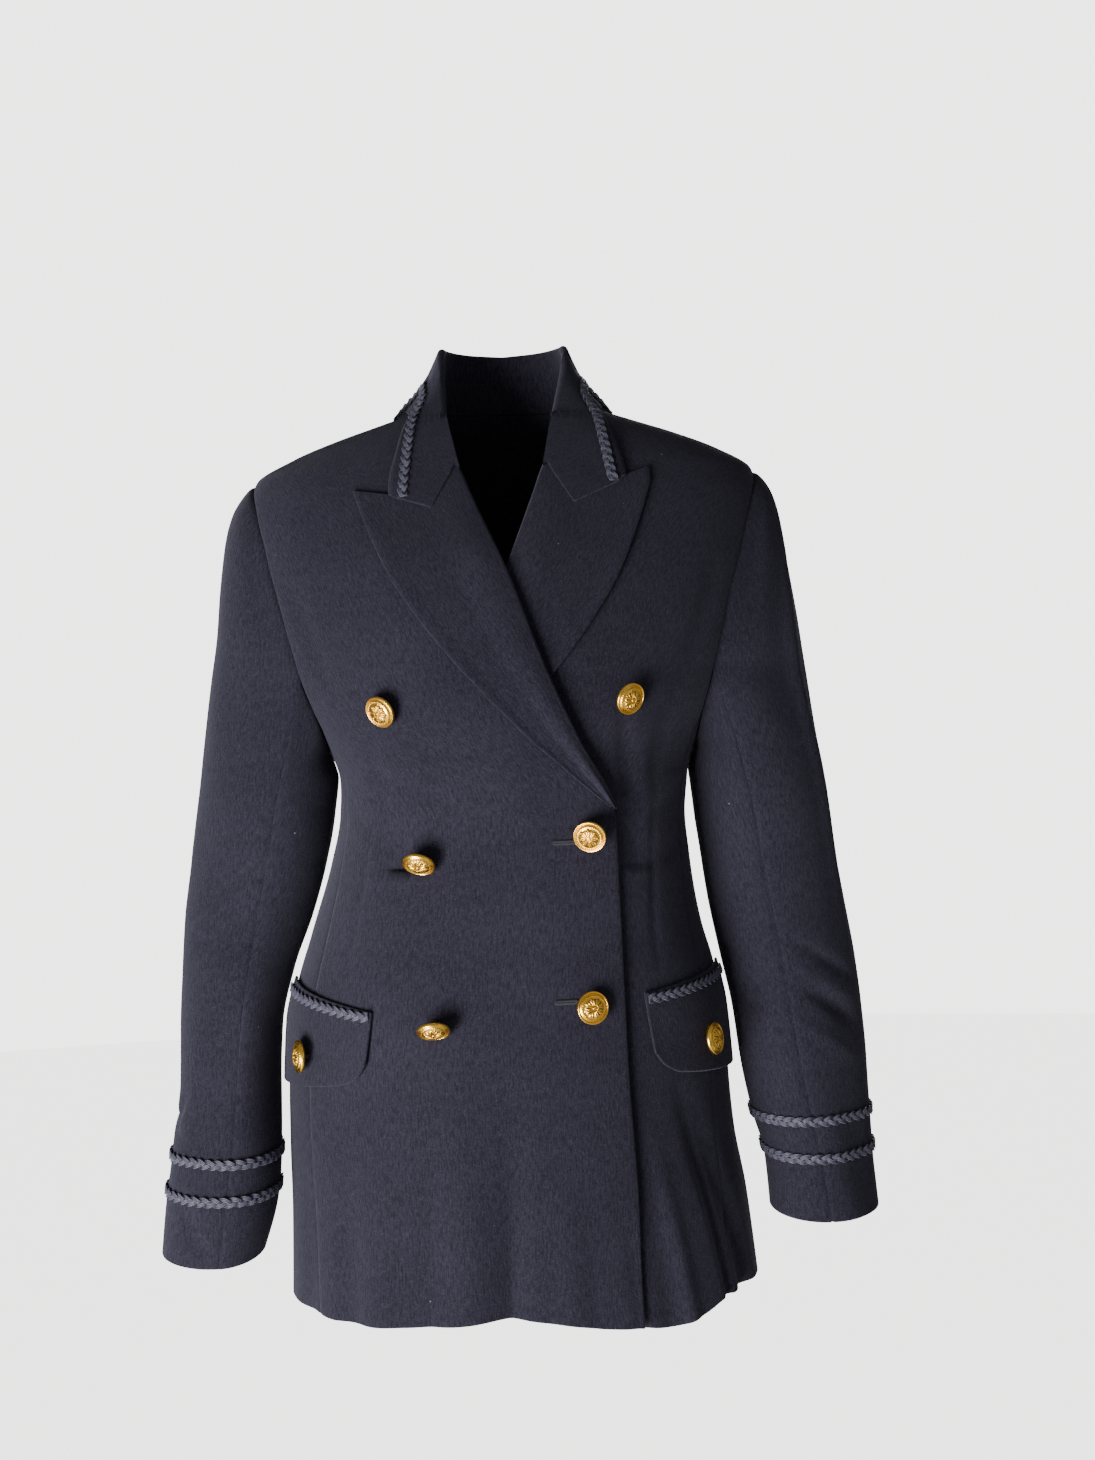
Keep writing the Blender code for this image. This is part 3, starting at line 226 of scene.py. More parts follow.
# ------------------------------------------------------------------ collar, lapels, flaps
Collar = namedtuple("Collar", "turn seam_angle seam_z fold_x fold_y fold_z edge_angle edge_z belly")
COLLAR = listed(
    Collar, (0.00, 180, 16, 0, 59, 65, 180, -24, 1.2), (0.16, 158, 16, 24, 54, 66, 157, -20, 1.2),
    (0.32, 135, 16, 41, 41, 66.5, 133, -9, 0.8), (0.48, 108, 16, 49, 21, 66, 110, 7.8, -1),
    (0.60, 88, 16, 50, 6, 58, 86, 11, -2.6), (0.68, 74, 12, 48.5, -8, 43, 49, 3.6, -2.6),
    (0.76, 60, 2, 46.5, -22, 25, 35.5, -8.6, -1.4), (0.84, 40, -12, 44, -38, 5, 28.5, -24.5, 0),
    (0.92, 24, -25, 40, -54, -15, 26.2, -42, 1), (1.00, 14, -39, 35, -69, -39, 26.4, -58, 1.2))
COLLAR_STATIONS = 201
COLLAR_STAND_POINTS, COLLAR_FOLD_POINTS, COLLAR_FALL_POINTS = 9, 13, 26
COLLAR_FOLD_RADIUS = 3.4
COLLAR_LIFT = 3.6
COLLAR_LOFT = 4.7
COLLAR_LEAN = 6.0
COLLAR_LEAN_Z = (-10, 60)
COLLAR_TO_SEAM = 2.6
COLLAR_OVER_SEAM = 1.9
COLLAR_FRONT_FROM = 0.60
COLLAR_END_FROM = 0.80
# Below this height the front of the collar is kept clear of the fronts.
COLLAR_CLEAR_Z = 2.0
# Seam between collar and lapel: share of the collar's end, x and height of its marks.
GORGE = {
    RIGHT: ((0.0, 35.5, -42.0), (0.36, 54.0, -74.2), (1.0, 85.5, -63.8)),
    LEFT: ((0.0, 35.5, -42.0), (0.36, 54.0, -73.0), (1.0, 95.0, -54.5)),
}
GORGE_CORNER_AT = 0.36
GORGE_START = 0.12
GORGE_LIFT = 3.1
# Distance from the collar's outer edge to the braid, near its ends and round the neck.
COLLAR_BRAID_FROM_EDGE = (12.5, 24.0)
COLLAR_BRAID_TURNS = (0.60, 0.78)
COLLAR_BRAID_TO = 0.985

LapelEdge = namedtuple("LapelEdge", "z x")
LAPEL_EDGE = listed(
    LapelEdge, (-58, -113), (-89, -102), (-130, -84), (-169, -59), (-204, -31), (-241, 3), (-272, 35),
    (-300, 66))
LapelTop = namedtuple("LapelTop", "across x z")
LAPEL_TOP = {
    RIGHT: listed(
        LapelTop, (0.0, -113, -58.5), (0.34, -83, -63.6), (0.70, -54, -73.4), (1.0, -36.6, -38.5)),
    LEFT: listed(
        LapelTop, (0.0, -113, -45.5), (0.26, -94, -53), (0.70, -54, -72.2), (1.0, -36.6, -38.5)),
}
LAPEL_WIDTH, LAPEL_LENGTH = 100, 290
LAPEL_BOTTOM_Z = -301
LAPEL_ROLL = 3.0
LAPEL_ROLL_RADIUS = 2.6
LAPEL_ROLL_STEPS = 7
LAPEL_ROLL_TURN = 110
# The lapel stands off towards its roll line, over these shares of its width and its length; the left
# one stops where the over front begins. Its edge is lofted over a share of its width.
LAPEL_ROLL_ACROSS = (0.55, 1.15)
LAPEL_ROLL_DOWN = (-0.1, 0.3)
LEFT_LAPEL_ROLL_ENDS = (0.22, 0.4)
LAPEL_TIP_ENDS = 0.2
LAPEL_EDGE_LOFT = 1.5
LAPEL_EDGE_WIDTH = 0.12

Flap = namedtuple("Flap", "across top bottom")
FLAP_OUTLINE = listed(
    Flap, (0.00, -451, -488), (0.06, -450, -498), (0.16, -447.8, -504), (0.50, -441, -508.5),
    (1.00, -433, -511))
FLAP_FRONT_X = {RIGHT: -109, LEFT: 92.5}
FLAP_RAISE = {RIGHT: 0, LEFT: 6.5}
FLAP_BACK_ANGLE = 82
FLAP_WIDTH, FLAP_LENGTH = 110, 58
FLAP_STEP_SHARE = 0.6
FLAP_LIFT = 0.9
FLAP_FLARE = 2.2
FLAP_SLANT = 5.0

# ------------------------------------------------------------------ braid and buttons
STRANDS = 3
CORDS_IN_STRAND = 3
CORD_SIDES = 6
CORD_STEP = 1.4
CUFF_BRAID_ABOVE = {RIGHT: (73, 47), LEFT: (72, 45)}
BRAID_ON_FLAP_AT, BRAID_ON_FLAP_TO = 0.08, 0.96
CUFF_PATH_POINTS, FLAP_PATH_POINTS, COLLAR_PATH_POINTS = 120, 60, 161
PLAIT_INPUTS = (
    ("Cord Thickness", "NodeSocketFloat", 0.00112),
    ("Period", "NodeSocketFloat", 0.0235),
    ("Width", "NodeSocketFloat", 0.0082),
    ("Rise", "NodeSocketFloat", 0.0008),
    ("Closed", "NodeSocketBool", False),
    ("Seed", "NodeSocketInt", 4),
)
STITCH_INPUTS = (
    ("Thread Thickness", "NodeSocketFloat", 0.0005),
    ("Stitch Length", "NodeSocketFloat", 0.0022),
    ("Seed", "NodeSocketInt", 2),
)

# Each button's face is turned down (droop) and to one side (lean).
Button = namedtuple("Button", "name layer x z droop lean")
FRONT_BUTTONS = listed(
    Button, ("button_right_1", RIGHT, -90.2, -225, 19.5, -11.5),
    ("button_right_2", RIGHT, -66.5, -335.4, 50, 1), ("button_right_3", RIGHT, -62.4, -457, 60, 8),
    ("button_left_1", LEFT, 85.1, -222.3, 17, 12), ("button_left_2", RIGHT, 53, -321, 18, -30),
    ("button_left_3", RIGHT, 49.4, -450.7, 1, 8))
FlapButton = namedtuple("FlapButton", "name side angle z droop lean")
FLAP_BUTTONS = listed(
    FlapButton, ("button_flap_right", RIGHT, 55.8, -486, 1, -17.5),
    ("button_flap_left", LEFT, 54.2, -484.5, -3.5, 7))
BUTTON_STAND = 5.5
BUTTON_REST = 0.5
BUTTON_RADIUS = 12.4
BUTTON_HANG = 0.45
BUTTON_STEPS = 120
FACE_RINGS = ((0.12, 9.5, 44), (9.7, BUTTON_RADIUS, 18))
ROSETTE_RADIUS = 7.2
BEAD_RING_RADIUS = 9.15
GROOVE_RADIUS = 10.7
DomeRow = namedtuple("DomeRow", "radius height")
DOME = listed(
    DomeRow, (0.0, 5.4), (2.6, 5.28), (5.1, 4.9), (7.2, 4.3), (9.1, 3.5), (10.1, 2.85), (10.6, 2.45),
    (10.9, 2.5), (11.3, 3.05), (11.75, 3.15), (12.2, 2.75), (12.4, 1.9))
BUTTON_BACK = listed(
    DomeRow, (12.35, 1.0), (11.8, 0.2), (10.8, 0.0), (6.2, -0.2), (2.3, -0.4))
SHANK_RADIUS = 1.5
SHANK_IN = 0.2
SHANK_RINGS, SHANK_SIDES = 9, 14
Buttonhole = namedtuple("Buttonhole", "name z from_x to_x")
BUTTONHOLES = listed(
    Buttonhole, ("buttonhole_upper", -327.5, 28, 43), ("buttonhole_lower", -446, 26, 40))
BUTTONHOLE_GAP = 0.9
STITCH_LENGTH = 0.0021

LINT_COLOUR = (0.30, 0.31, 0.36)
THREAD_COLOURS = ((0.006, 0.006, 0.012), (0.022, 0.022, 0.036))

# ------------------------------------------------------------------ stage, in metres
PHOTO_HEIGHT_PX = 1460
PHOTO_LENS_PX = 2025
SENSOR_MM = 24
CAMERA_DISTANCE = 1.62
CAMERA_ASIDE = 0.031
CAMERA_HEIGHT = -0.245
CAMERA_YAW = -2.0
CAMERA_ROLL = -2.0
SKY_COLOUR = (0.96, 0.955, 0.94)
FLOOR_RADIUS, FLOOR_SIDES = 12, 96
FLOOR_TO_WALL = 0.98
# Each light's power is the setting of this name; all point at one place.
Light = namedtuple("Light", "name power place size colour")
LIGHTS = listed(
    Light, ("key_light", "key", (-1.35, -1.8, -1.3), 1.4, (1.0, 0.985, 0.96)),
    ("fill_light", "fill", (1.6, -1.7, 0.1), 1.6, (0.95, 0.97, 1.0)),
    ("back_light", "back", (0.5, 2.6, 0.3), 2.0, (0.97, 0.98, 1.0)))
LIT_POINT = (0.0, 0.0, -0.32)


# ------------------------------------------------------------------ settings
def length_setting(name, default, description):
    return FloatProperty(name=name, description=description, default=default, unit="LENGTH", precision=5)


def colour_setting(name, default, description):
    return FloatVectorProperty(name=name, description=description, default=default, size=3,
                               subtype="COLOR", min=0.0, max=1.0)


def power_setting(name, default, description):
    return FloatProperty(name=name, description=description, default=default, unit="POWER")


class BlazerCloth(bpy.types.PropertyGroup):
    step: length_setting("Mesh step", 0.0034, "Distance between points of the cloth")
    seam_depth: length_setting("Seam depth", 0.0006, "How deep the groove at a seam is")
    seam_width: length_setting("Seam width", 0.0020, "Half the width of the groove at a seam")
    crease: FloatProperty(name="Creases", description="Strength of the fine creases",
                          default=1.0, min=0.0, max=2.0, subtype="FACTOR")
    wool: colour_setting("Wool", (0.0112, 0.0100, 0.0185), "Colour of the wool")
    nap: colour_setting("Nap", (0.033, 0.0305, 0.0480), "Colour of the raised fibres")
    twill_pitch: length_setting("Twill pitch", 0.0013, "Distance between the ribs of the weave")


class BlazerBraid(bpy.types.PropertyGroup):
    cord: length_setting("Cord", 0.00112, "Thickness of one cord")
    period: length_setting("Period", 0.0235, "Length in which a strand comes back to its edge")
    width: length_setting("Width", 0.0082, "Width of the plait")
    rise: length_setting("Rise", 0.0008, "How far a strand rises over the next one")
    seed: IntProperty(name="Seed", description="Seed of the small differences between strands", default=4)
    colour: colour_setting("Colour", (0.075, 0.073, 0.112), "Colour of the cords")


class BlazerButtons(bpy.types.PropertyGroup):
    relief: length_setting("Relief", 0.0010, "Height of the ornament on the face")
    petals: IntProperty(name="Petals", description="Petals of the ornament", default=8, min=3)
    beads: IntProperty(name="Beads", description="Beads in the ring round the ornament", default=36, min=8)
    metal: colour_setting("Metal", (1.0, 0.60, 0.09), "Colour of the raised metal")
    patina_and_shade_colour: colour_setting("Patina", (0.30, 0.12, 0.020), "Colour of the metal in its hollows")
    # The patina colour also paints the shade in the grooves and on the sides of the ornament.
    stitch: length_setting("Stitch", 0.0007, "Distance between buttonhole stitches")


class BlazerStage(bpy.types.PropertyGroup):
    floor_z: length_setting("Floor", -2.2, "Height of the floor")
    floor: colour_setting("Floor colour", (0.80, 0.80, 0.79), "Colour of the floor")
    key: power_setting("Key light", 148.0, "Power of the main light")
    fill: power_setting("Fill light", 2.5, "Power of the weaker light")
    back: power_setting("Back light", 60.0, "Power of the light behind")
    sky: FloatProperty(name="Surroundings", description="Strength of the light from all round", default=0.26)
    wall: FloatProperty(name="Backdrop", description="Brightness of the backdrop as it is seen", default=3.7)


# ------------------------------------------------------------------ reading the tables
@lru_cache(maxsize=None)
def smooth_slopes(table, column):
    """Keys, values and slopes of one column, for a smooth curve that doesn't overshoot."""
    ordered = sorted(table, key=lambda row: row[0])
    keys = np.array([row[0] for row in ordered], float)
    values = np.array([getattr(row, column) for row in ordered], float)
    steps = np.diff(values) / np.diff(keys)
    slopes = np.zeros(len(keys))
    slopes[0], slopes[-1] = steps[0], steps[-1]
    for i in range(1, len(keys) - 1):
        if steps[i - 1] * steps[i] > 0:
            slopes[i] = 2 * steps[i - 1] * steps[i] / (steps[i - 1] + steps[i])
    return keys, values, slopes


def read(table, column, at):
    """Values of a column at places between the table's rows."""
    keys, values, slopes = smooth_slopes(table, column)
    at = np.clip(np.asarray(at, float), keys[0], keys[-1])
    i = np.clip(np.searchsorted(keys, at, side="right") - 1, 0, len(keys) - 2)
    width = keys[i + 1] - keys[i]
    t = (at - keys[i]) / width
    first = values[i] * (2 * t**3 - 3 * t**2 + 1) + slopes[i] * width * (t**3 - 2 * t**2 + t)
    return first + values[i + 1] * (3 * t**2 - 2 * t**3) + slopes[i + 1] * width * (t**3 - t**2)


def ease(value, low, high):
    t = np.clip((np.asarray(value, float) - low) / (high - low), 0.0, 1.0)
    return t * t * (3 - 2 * t)


def mix(a, b, t):
    return a + (b - a) * t


def unit(vectors):
    return vectors / np.linalg.norm(vectors, axis=-1, keepdims=True)


def xyz(x, y, z):
    return np.stack(np.broadcast_arrays(x, y, z), axis=-1).astype(float)


def run_along(points, axis):
    """Distance of each point from the first one, measured along a path or the lines of a grid."""
    steps = np.linalg.norm(np.diff(points, axis=axis), axis=-1)
    start = np.zeros_like(np.take(steps, [0], axis))
    return np.concatenate([start, np.cumsum(steps, axis=axis)], axis=axis)


# ------------------------------------------------------------------ the body surface
def hump(spread):
    """Smooth hill that is 1 in its middle and 0 from 2 half widths on."""
    return np.where(np.abs(spread) < 2, 0.5 * (1 + np.cos(pi * np.minimum(np.abs(spread), 2) / 2)), 0.0)


def arc(angle, start, half):
    """Distance round the body from one angle to another, where it is half wide."""
    return np.radians((angle - start + 180) % 360 - 180) * half


def trough(angle, z):
    """Depth of the folds and creases at places on the body."""
    half = read(RINGS, "half", z)
    depth = np.zeros(np.broadcast(angle, z).shape)
    for fold in FOLDS:
        along = (z - fold.top_z) / (fold.end_z - fold.top_z)
        spread = np.abs(arc(angle, mix(fold.top_angle, fold.end_angle, along), half)) / fold.half_width
        reach = np.where((along > 0) & (along < FOLD_RUNS_TO), np.minimum(along, 1), 0)
        depth += fold.depth * reach * hump(spread) * (1 - FOLD_NARROWING * np.minimum(spread, 2))
    strength = bpy.context.scene.blazer_cloth.crease
    for crease in CREASES:
        run, across = arc(crease.end_angle, crease.top_angle, half), arc(angle, crease.top_angle, half)
        fall, down = crease.end_z - crease.top_z, z - crease.top_z
        length = np.hypot(run, fall)
        along = (across * run + down * fall) / length**2
        off_hem = crease.end_z < HEM_Z - 5
        inside = ease(along, 0, CREASE_FULL_AT) if off_hem else np.sin(pi * np.clip(along, 0, 1))
        spread = (across * fall - down * run) / length / crease.half_width
        depth += strength * crease.depth * inside * hump(spread)
    return depth


def ring_point(angle, z):
    """Points on the outer face of the cloth, before any layer's lift."""
    angle, z = np.broadcast_arrays(np.asarray(angle, float), np.asarray(z, float))
    height = z - read(HEM, "drop", (angle + 180) % 360 - 180) * ease(-z, -HEM_WAVES_FROM_Z, -HEM_Z)
    half = read(RINGS, "half", z)
    s, c = np.sin(np.radians(angle)), np.cos(np.radians(angle))
    depth = np.where(c > 0, read(RINGS, "front", z), read(RINGS, "back", z))
    swell = 1 + SQUARENESS * np.sin(2 * np.radians(angle)) ** 2
    x, y = half * s * swell, -depth * c * swell
    away = unit(np.stack([x / half**2, y / depth**2], axis=-1)) * trough(angle, z)[..., None]
    shift, middle = read(RINGS, "shift", z), read(RINGS, "middle", z)
    return xyz(x - away[..., 0] + shift, y - away[..., 1] + middle, height)


def body(angle, z, lift=0.0):
    """Points at a lift above the body surface."""
    point = ring_point(angle, z)
    around = ring_point(angle + 0.5, z) - ring_point(angle - 0.5, z)
    upward = ring_point(angle, z + 1.0) - ring_point(angle, z - 1.0)
    return point + unit(np.cross(around, upward)) * np.asarray(lift, float)[..., None]


def angle_at(x, z):
    """Angles on the front half where the body has these x."""
    x, z = np.broadcast_arrays(np.asarray(x, float), np.asarray(z, float))
    low, high = np.full(x.shape, -90.0), np.full(x.shape, 90.0)
    half, shift = read(RINGS, "half", z), read(RINGS, "shift", z)
    for _ in range(30):
        middle = (low + high) / 2
        s = np.sin(np.radians(middle))
        short = half * s * (1 + SQUARENESS * np.sin(2 * np.radians(middle)) ** 2) + shift < x
        low, high = np.where(short, middle, low), np.where(short, high, middle)
    return (low + high) / 2


def front_lift(side, angle, z):
    """Stand-off of a front from the body surface: the over front lies on the under front."""
    if side == LEFT:
        return np.zeros(np.broadcast(angle, z).shape)
    x = ring_point(angle, z)[..., 0]
    return OVERLAP_LIFT * ease(x, OVERLAP_OUT_X, OVERLAP_IN_X) * ease(-z, -OVERLAP_TOP_Z, -OVERLAP_FULL_Z)


def front_place(x, z, lift):
    return body(angle_at(x, z), z, lift)


# ------------------------------------------------------------------ cloth
def spaced(length, step_share=1.0):
    """How many points the mesh step gives over a length."""
    step = bpy.context.scene.blazer_cloth.step / MM * step_share
    return max(int(round(length / step)) + 1, 4)


def grid_normals(grid):
    """Unit normals of a grid whose rows run down and whose columns run leftwards seen from outside."""
    return unit(np.cross(np.gradient(grid, axis=0), np.gradient(grid, axis=1)))


def edge_lines(grid, distances):
    """Adds lines of points close inside each border, so that an edge or a seam stays narrow."""
    for _ in ("columns", "rows"):
        for _ in ("first", "last"):
            step = np.linalg.norm(grid[:, 1] - grid[:, 0], axis=-1, keepdims=True)
            near = [mix(grid[:, 0], grid[:, 1], far / step)[:, None] for far in distances if far < step.min()]
            grid = np.concatenate([grid[:, :1], *near, grid[:, 1:]], axis=1)[:, ::-1]
        grid = grid.transpose(1, 0, 2)
    return grid


def seam_sink(grid, seams):
    """Sinks the borders named in seams, so that two pieces meet in a soft groove."""
    grid = edge_lines(grid, SEAM_LINES)
    cloth = bpy.context.scene.blazer_cloth
    depth, width = cloth.seam_depth / MM, cloth.seam_width / MM
    from_first = run_along(grid, 1)
    away = {"first": from_first, "last": from_first[:, -1:] - from_first, "top": run_along(grid, 0)}
    far = np.minimum.reduce([away[seam] for seam in seams])
    return grid - grid_normals(grid) * (depth * np.exp(-(far / width) ** 2))[..., None]


def cloth_uv(grid):
    """Place of each point on the cloth, in metres, measured along the cloth from its middle."""
    u, v = run_along(grid, 1), run_along(grid, 0)
    middle = grid.shape[1] // 2
    v = np.broadcast_to(v[:, middle:middle + 1], v.shape)
    return np.stack([u - u[:, middle:middle + 1], -v], axis=-1) * MM


def border_loop(rows, columns):
    """Indices of a grid's border, in order round it."""
    grid = np.arange(rows * columns).reshape(rows, columns)
    return np.concatenate([grid[0, :-1], grid[:-1, -1], grid[-1, :0:-1], grid[:0:-1, 0]])


def add_cloth(node, outer, thickness):
    """Closed sheet of cloth under a grid of points, with a rounded edge all round. It takes the place
    of the CAD node."""
    outer = edge_lines(outer, EDGE_LINES)
    rows, columns = outer.shape[:2]
    inner = outer - grid_normals(outer) * thickness
    inside = np.concatenate([outer[1, :-1], outer[:-1, -2], outer[-2, :0:-1], outer[:0:-1, 1]])
    loop = border_loop(rows, columns)
    flat_outer, flat_inner = outer.reshape(-1, 3), inner.reshape(-1, 3)
    away = unit(flat_outer[loop] - inside) * thickness
    rims = [mix(flat_outer[loop], flat_inner[loop], t) + away * RIM_PUFF * swell for t, swell in RIM]
    points = np.concatenate([flat_outer, flat_inner, *rims])
    cells = np.arange(rows * columns).reshape(rows, columns)
    a, b = cells[:-1, :-1].ravel(), cells[:-1, 1:].ravel()
    c, d = cells[1:, :-1].ravel(), cells[1:, 1:].ravel()
    back = rows * columns
    faces = [np.stack([a, c, d, b], axis=1), np.stack([a, b, d, c], axis=1) + back]
    ring = 2 * back + np.arange(len(RIM) * len(loop)).reshape(len(RIM), -1)
    levels = [loop, *ring, loop + back]
    for upper, lower in zip(levels[:-1], levels[1:]):
        faces.append(np.stack([upper, np.roll(upper, -1), np.roll(lower, -1), lower], axis=1))
    uv = cloth_uv(outer).reshape(-1, 2)
    uv = np.concatenate([uv, uv, *(uv[loop] for _ in RIM)])
    wool = get_material("napped_wool")
    made = add_mesh(f"{node}_cloth", points, np.concatenate(faces).tolist(), wool, uv)
    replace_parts(made, node)


def add_object(name, data):
    made = bpy.data.objects.new(name, data)
    bpy.context.scene.collection.objects.link(made)
    return made


def add_piece(name, mesh):
    """New object that rides on the body."""
    made = add_object(name, mesh)
    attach(made, "root")
    return made


def add_mesh(name, points, faces, look, uv=None):
    """New piece from millimetre points and lists of corners."""
    mesh = bpy.data.meshes.new(name)
    mesh.from_pydata((points * MM).tolist(), [], faces)
    mesh.validate()
    mesh.polygons.foreach_set("use_smooth", np.ones(len(mesh.polygons), bool))
    if uv is not None:
        corners = np.zeros(len(mesh.loops), np.int32)
        mesh.loops.foreach_get("vertex_index", corners)
        layer = mesh.uv_layers.new(name="cloth")
        layer.data.foreach_set("uv", uv[corners].astype(np.float32).ravel())
    mesh.materials.append(look)
    return add_piece(name, mesh)


def rows_down(top, bottom):
    return np.linspace(top, bottom, spaced(top - bottom))[:, None]


def rows_in_bands(*bands):
    """Heights of the rows, closer together where the shape turns fast, in the order from the top."""
    parts = [np.linspace(top, bottom, spaced((top - bottom) * closer))[:-1] for top, bottom, closer in bands]
    return np.concatenate([*parts, [bands[-1][1]]])[:, None]


def columns_over(width):
    return np.linspace(0, 1, spaced(width))[None, :]


# ------------------------------------------------------------------ fronts, sides and backs
def border_angle(side, z):
    return angle_at(-side * read(FRONT_EDGE, "x", z), z)


def outer_angle(z, column):
    """Outer border of a front or back: shoulder seam, armhole or side seam."""
    hole, seam = read(ARMHOLE, column, z), read(SIDE_SEAMS, column, z)
    return np.where(z > ARMHOLE[0].z, 90.0, np.where(z > ARMHOLE[-1].z, hole, seam))


def front_grid(side):
    z = rows_in_bands(*BODY_BANDS)
    outer, inner = side * outer_angle(z, "front"), border_angle(side, z)
    near, far = (inner, outer) if side == LEFT else (outer, inner)
    angle = mix(near, far, columns_over(FRONT_WIDTH[side]))
    z = np.broadcast_to(z, angle.shape)
    return body(angle, z, front_lift(side, angle, z))


def back_grid(side):
    z = rows_in_bands(*BODY_BANDS)
    outer, middle = side * outer_angle(z, "back"), side * 180.0 + 0 * z
    near, far = (outer, middle) if side == LEFT else (middle, outer)
    angle = mix(near, far, columns_over(BACK_WIDTH))
    return body(angle, np.broadcast_to(z, angle.shape), 0.0 * angle)


def side_panel_grid(side):
    down = rows_down(UNDERARM_Z, HEM_Z)
    share = columns_over(SIDE_PANEL_WIDTH)
    t = share if side == LEFT else 1 - share
    front, back = read(SIDE_SEAMS, "front", down), read(SIDE_SEAMS, "back", down)
    angle = side * mix(front, back, t)
    hole = read(UNDERARM, "z", np.abs(mix(SIDE_SEAMS[0].front, SIDE_SEAMS[0].back, t)))
    z = mix(hole, HEM_Z, (down - UNDERARM_Z) / (HEM_Z - UNDERARM_Z))
    return body(angle, z, 0.0 * angle)


# ------------------------------------------------------------------ sleeves
def sleeve_end(side, z, column):
    """Front or back seam of the sleeve at each height: on the armhole above SLEEVE_JOIN_Z."""
    table = SLEEVES[side]
    free = xyz(side * read(table, "seam", z), read(table, column, z), z)
    hole_z = np.maximum(z, SLEEVE_JOIN_Z)
    held = body(side * read(ARMHOLE, column, hole_z), hole_z)
    join = xyz(side * read(table, "seam", SLEEVE_JOIN_Z), read(table, column, SLEEVE_JOIN_Z), SLEEVE_JOIN_Z)
    fade = (1 - ease(SLEEVE_JOIN_Z - z, 0, UNDER_SLEEVE_BLEND))[..., None]
    return np.where((z >= SLEEVE_JOIN_Z)[..., None], held, free + (held - join) * fade)


def sleeve_trough(side, z, turn):
    depth = np.zeros(np.broadcast(z, turn).shape)
    strength = bpy.context.scene.blazer_cloth.crease
    for table, scale in ((SLEEVE_FOLDS[side], 1.0), (SLEEVE_CREASES[side], strength)):
        for fold in table:
            along = (z - fold.top) / (fold.end - fold.top)
            inside = np.where((along > 0) & (along < 1), np.sin(pi * np.clip(along, 0, 1)), 0)
            spread = (turn - mix(fold.turn_top, fold.turn_end, along)) * SLEEVE_TURN_LENGTH / fold.half_width
            depth += scale * fold.depth * inside * hump(spread)
    return depth


def sleeve_point(side, z, turn, half):
    """Points of the outer or inner half of a sleeve. turn runs from the front seam to the back."""
    z, turn = np.broadcast_arrays(np.asarray(z, float), np.asarray(turn, float))
    front, back = sleeve_end(side, z, "front"), sleeve_end(side, z, "back")
    point = mix(front, back, ((1 - np.cos(pi * turn)) / 2)[..., None])
    reach = side * read(SLEEVES[side], half, z)
    bulge = np.sin(pi * turn)
    point[..., 0] += (reach - point[..., 0]) * bulge
    if half == "outer":
        deep = sleeve_trough(side, z, turn)
        point[..., 0] -= side * deep * bulge
        point[..., 1] += deep * np.cos(pi * turn)
    level = ease(-z, -CUFF_TILT_FROM_Z, -CUFF_Z[side])
    behind = point[..., 1] - (front[..., 1] + back[..., 1]) / 2
    point[..., 2] += CUFF_TILT[side] * level * behind / CUFF_TILT_AT
    return point


def top_sleeve_grid(side):
    z = rows_in_bands(*CAP_BANDS, (CAP_BANDS[-1][1], CUFF_Z[side], 1.0))
    turn = columns_over(TOP_SLEEVE_WIDTH)
    return sleeve_point(side, z, turn if side == LEFT else 1 - turn, "outer")


def under_sleeve_grid(side):
    row = rows_down(SLEEVE_JOIN_Z, CUFF_Z[side])
    turn = columns_over(UNDER_SLEEVE_WIDTH)
    angle = mix(UNDERARM[0].angle, UNDERARM[-1].angle, turn)
    top_z = read(UNDERARM, "z", angle)
    held = body(side * angle, top_z)
    z = row + (top_z - SLEEVE_JOIN_Z) * (1 - ease(SLEEVE_JOIN_Z - row, 0, UNDER_SLEEVE_CURVE))
    at_top = sleeve_point(side, top_z, turn, "inner")
    fade = (1 - ease(top_z - z, 0, UNDER_SLEEVE_BLEND))[..., None]
    grid = sleeve_point(side, z, turn, "inner") + (held - at_top) * fade
    return grid if side == RIGHT else grid[:, ::-1]


# ------------------------------------------------------------------ collar
def clear_of_front(point):
    """Moves collar points forwards until they lie above the front."""
    x, y, z = point[..., 0], point[..., 1], point[..., 2]
    low = np.minimum(z, COLLAR_CLEAR_Z)
    lifted = front_place(x, low, COLLAR_LOFT) - front_place(x, low, 0.0 * x)
    over = front_place(x - lifted[..., 0], low - lifted[..., 2], COLLAR_LOFT + 0 * x)
    inside = (z <= COLLAR_CLEAR_Z) & (y <= 0)
    return xyz(x, np.where(inside, np.minimum(y, over[..., 1]), y), z)


def gorge_points(sides, t):
    """Places on the seam where the end of the collar lies on the top of the lapel."""
    lift = mix(GORGE_LIFT + 0.5, GORGE_LIFT, min(t / GORGE_CORNER_AT, 1.0))
    places = {}
    for side, seam in GORGE.items():
        marks, xs, zs = zip(*seam)
        x, z = float(np.interp(t, marks, xs)), float(np.interp(t, marks, zs))
        places[side] = front_place(side * x, z, lift)
    return np.where((sides == LEFT)[:, None], places[LEFT], places[RIGHT])


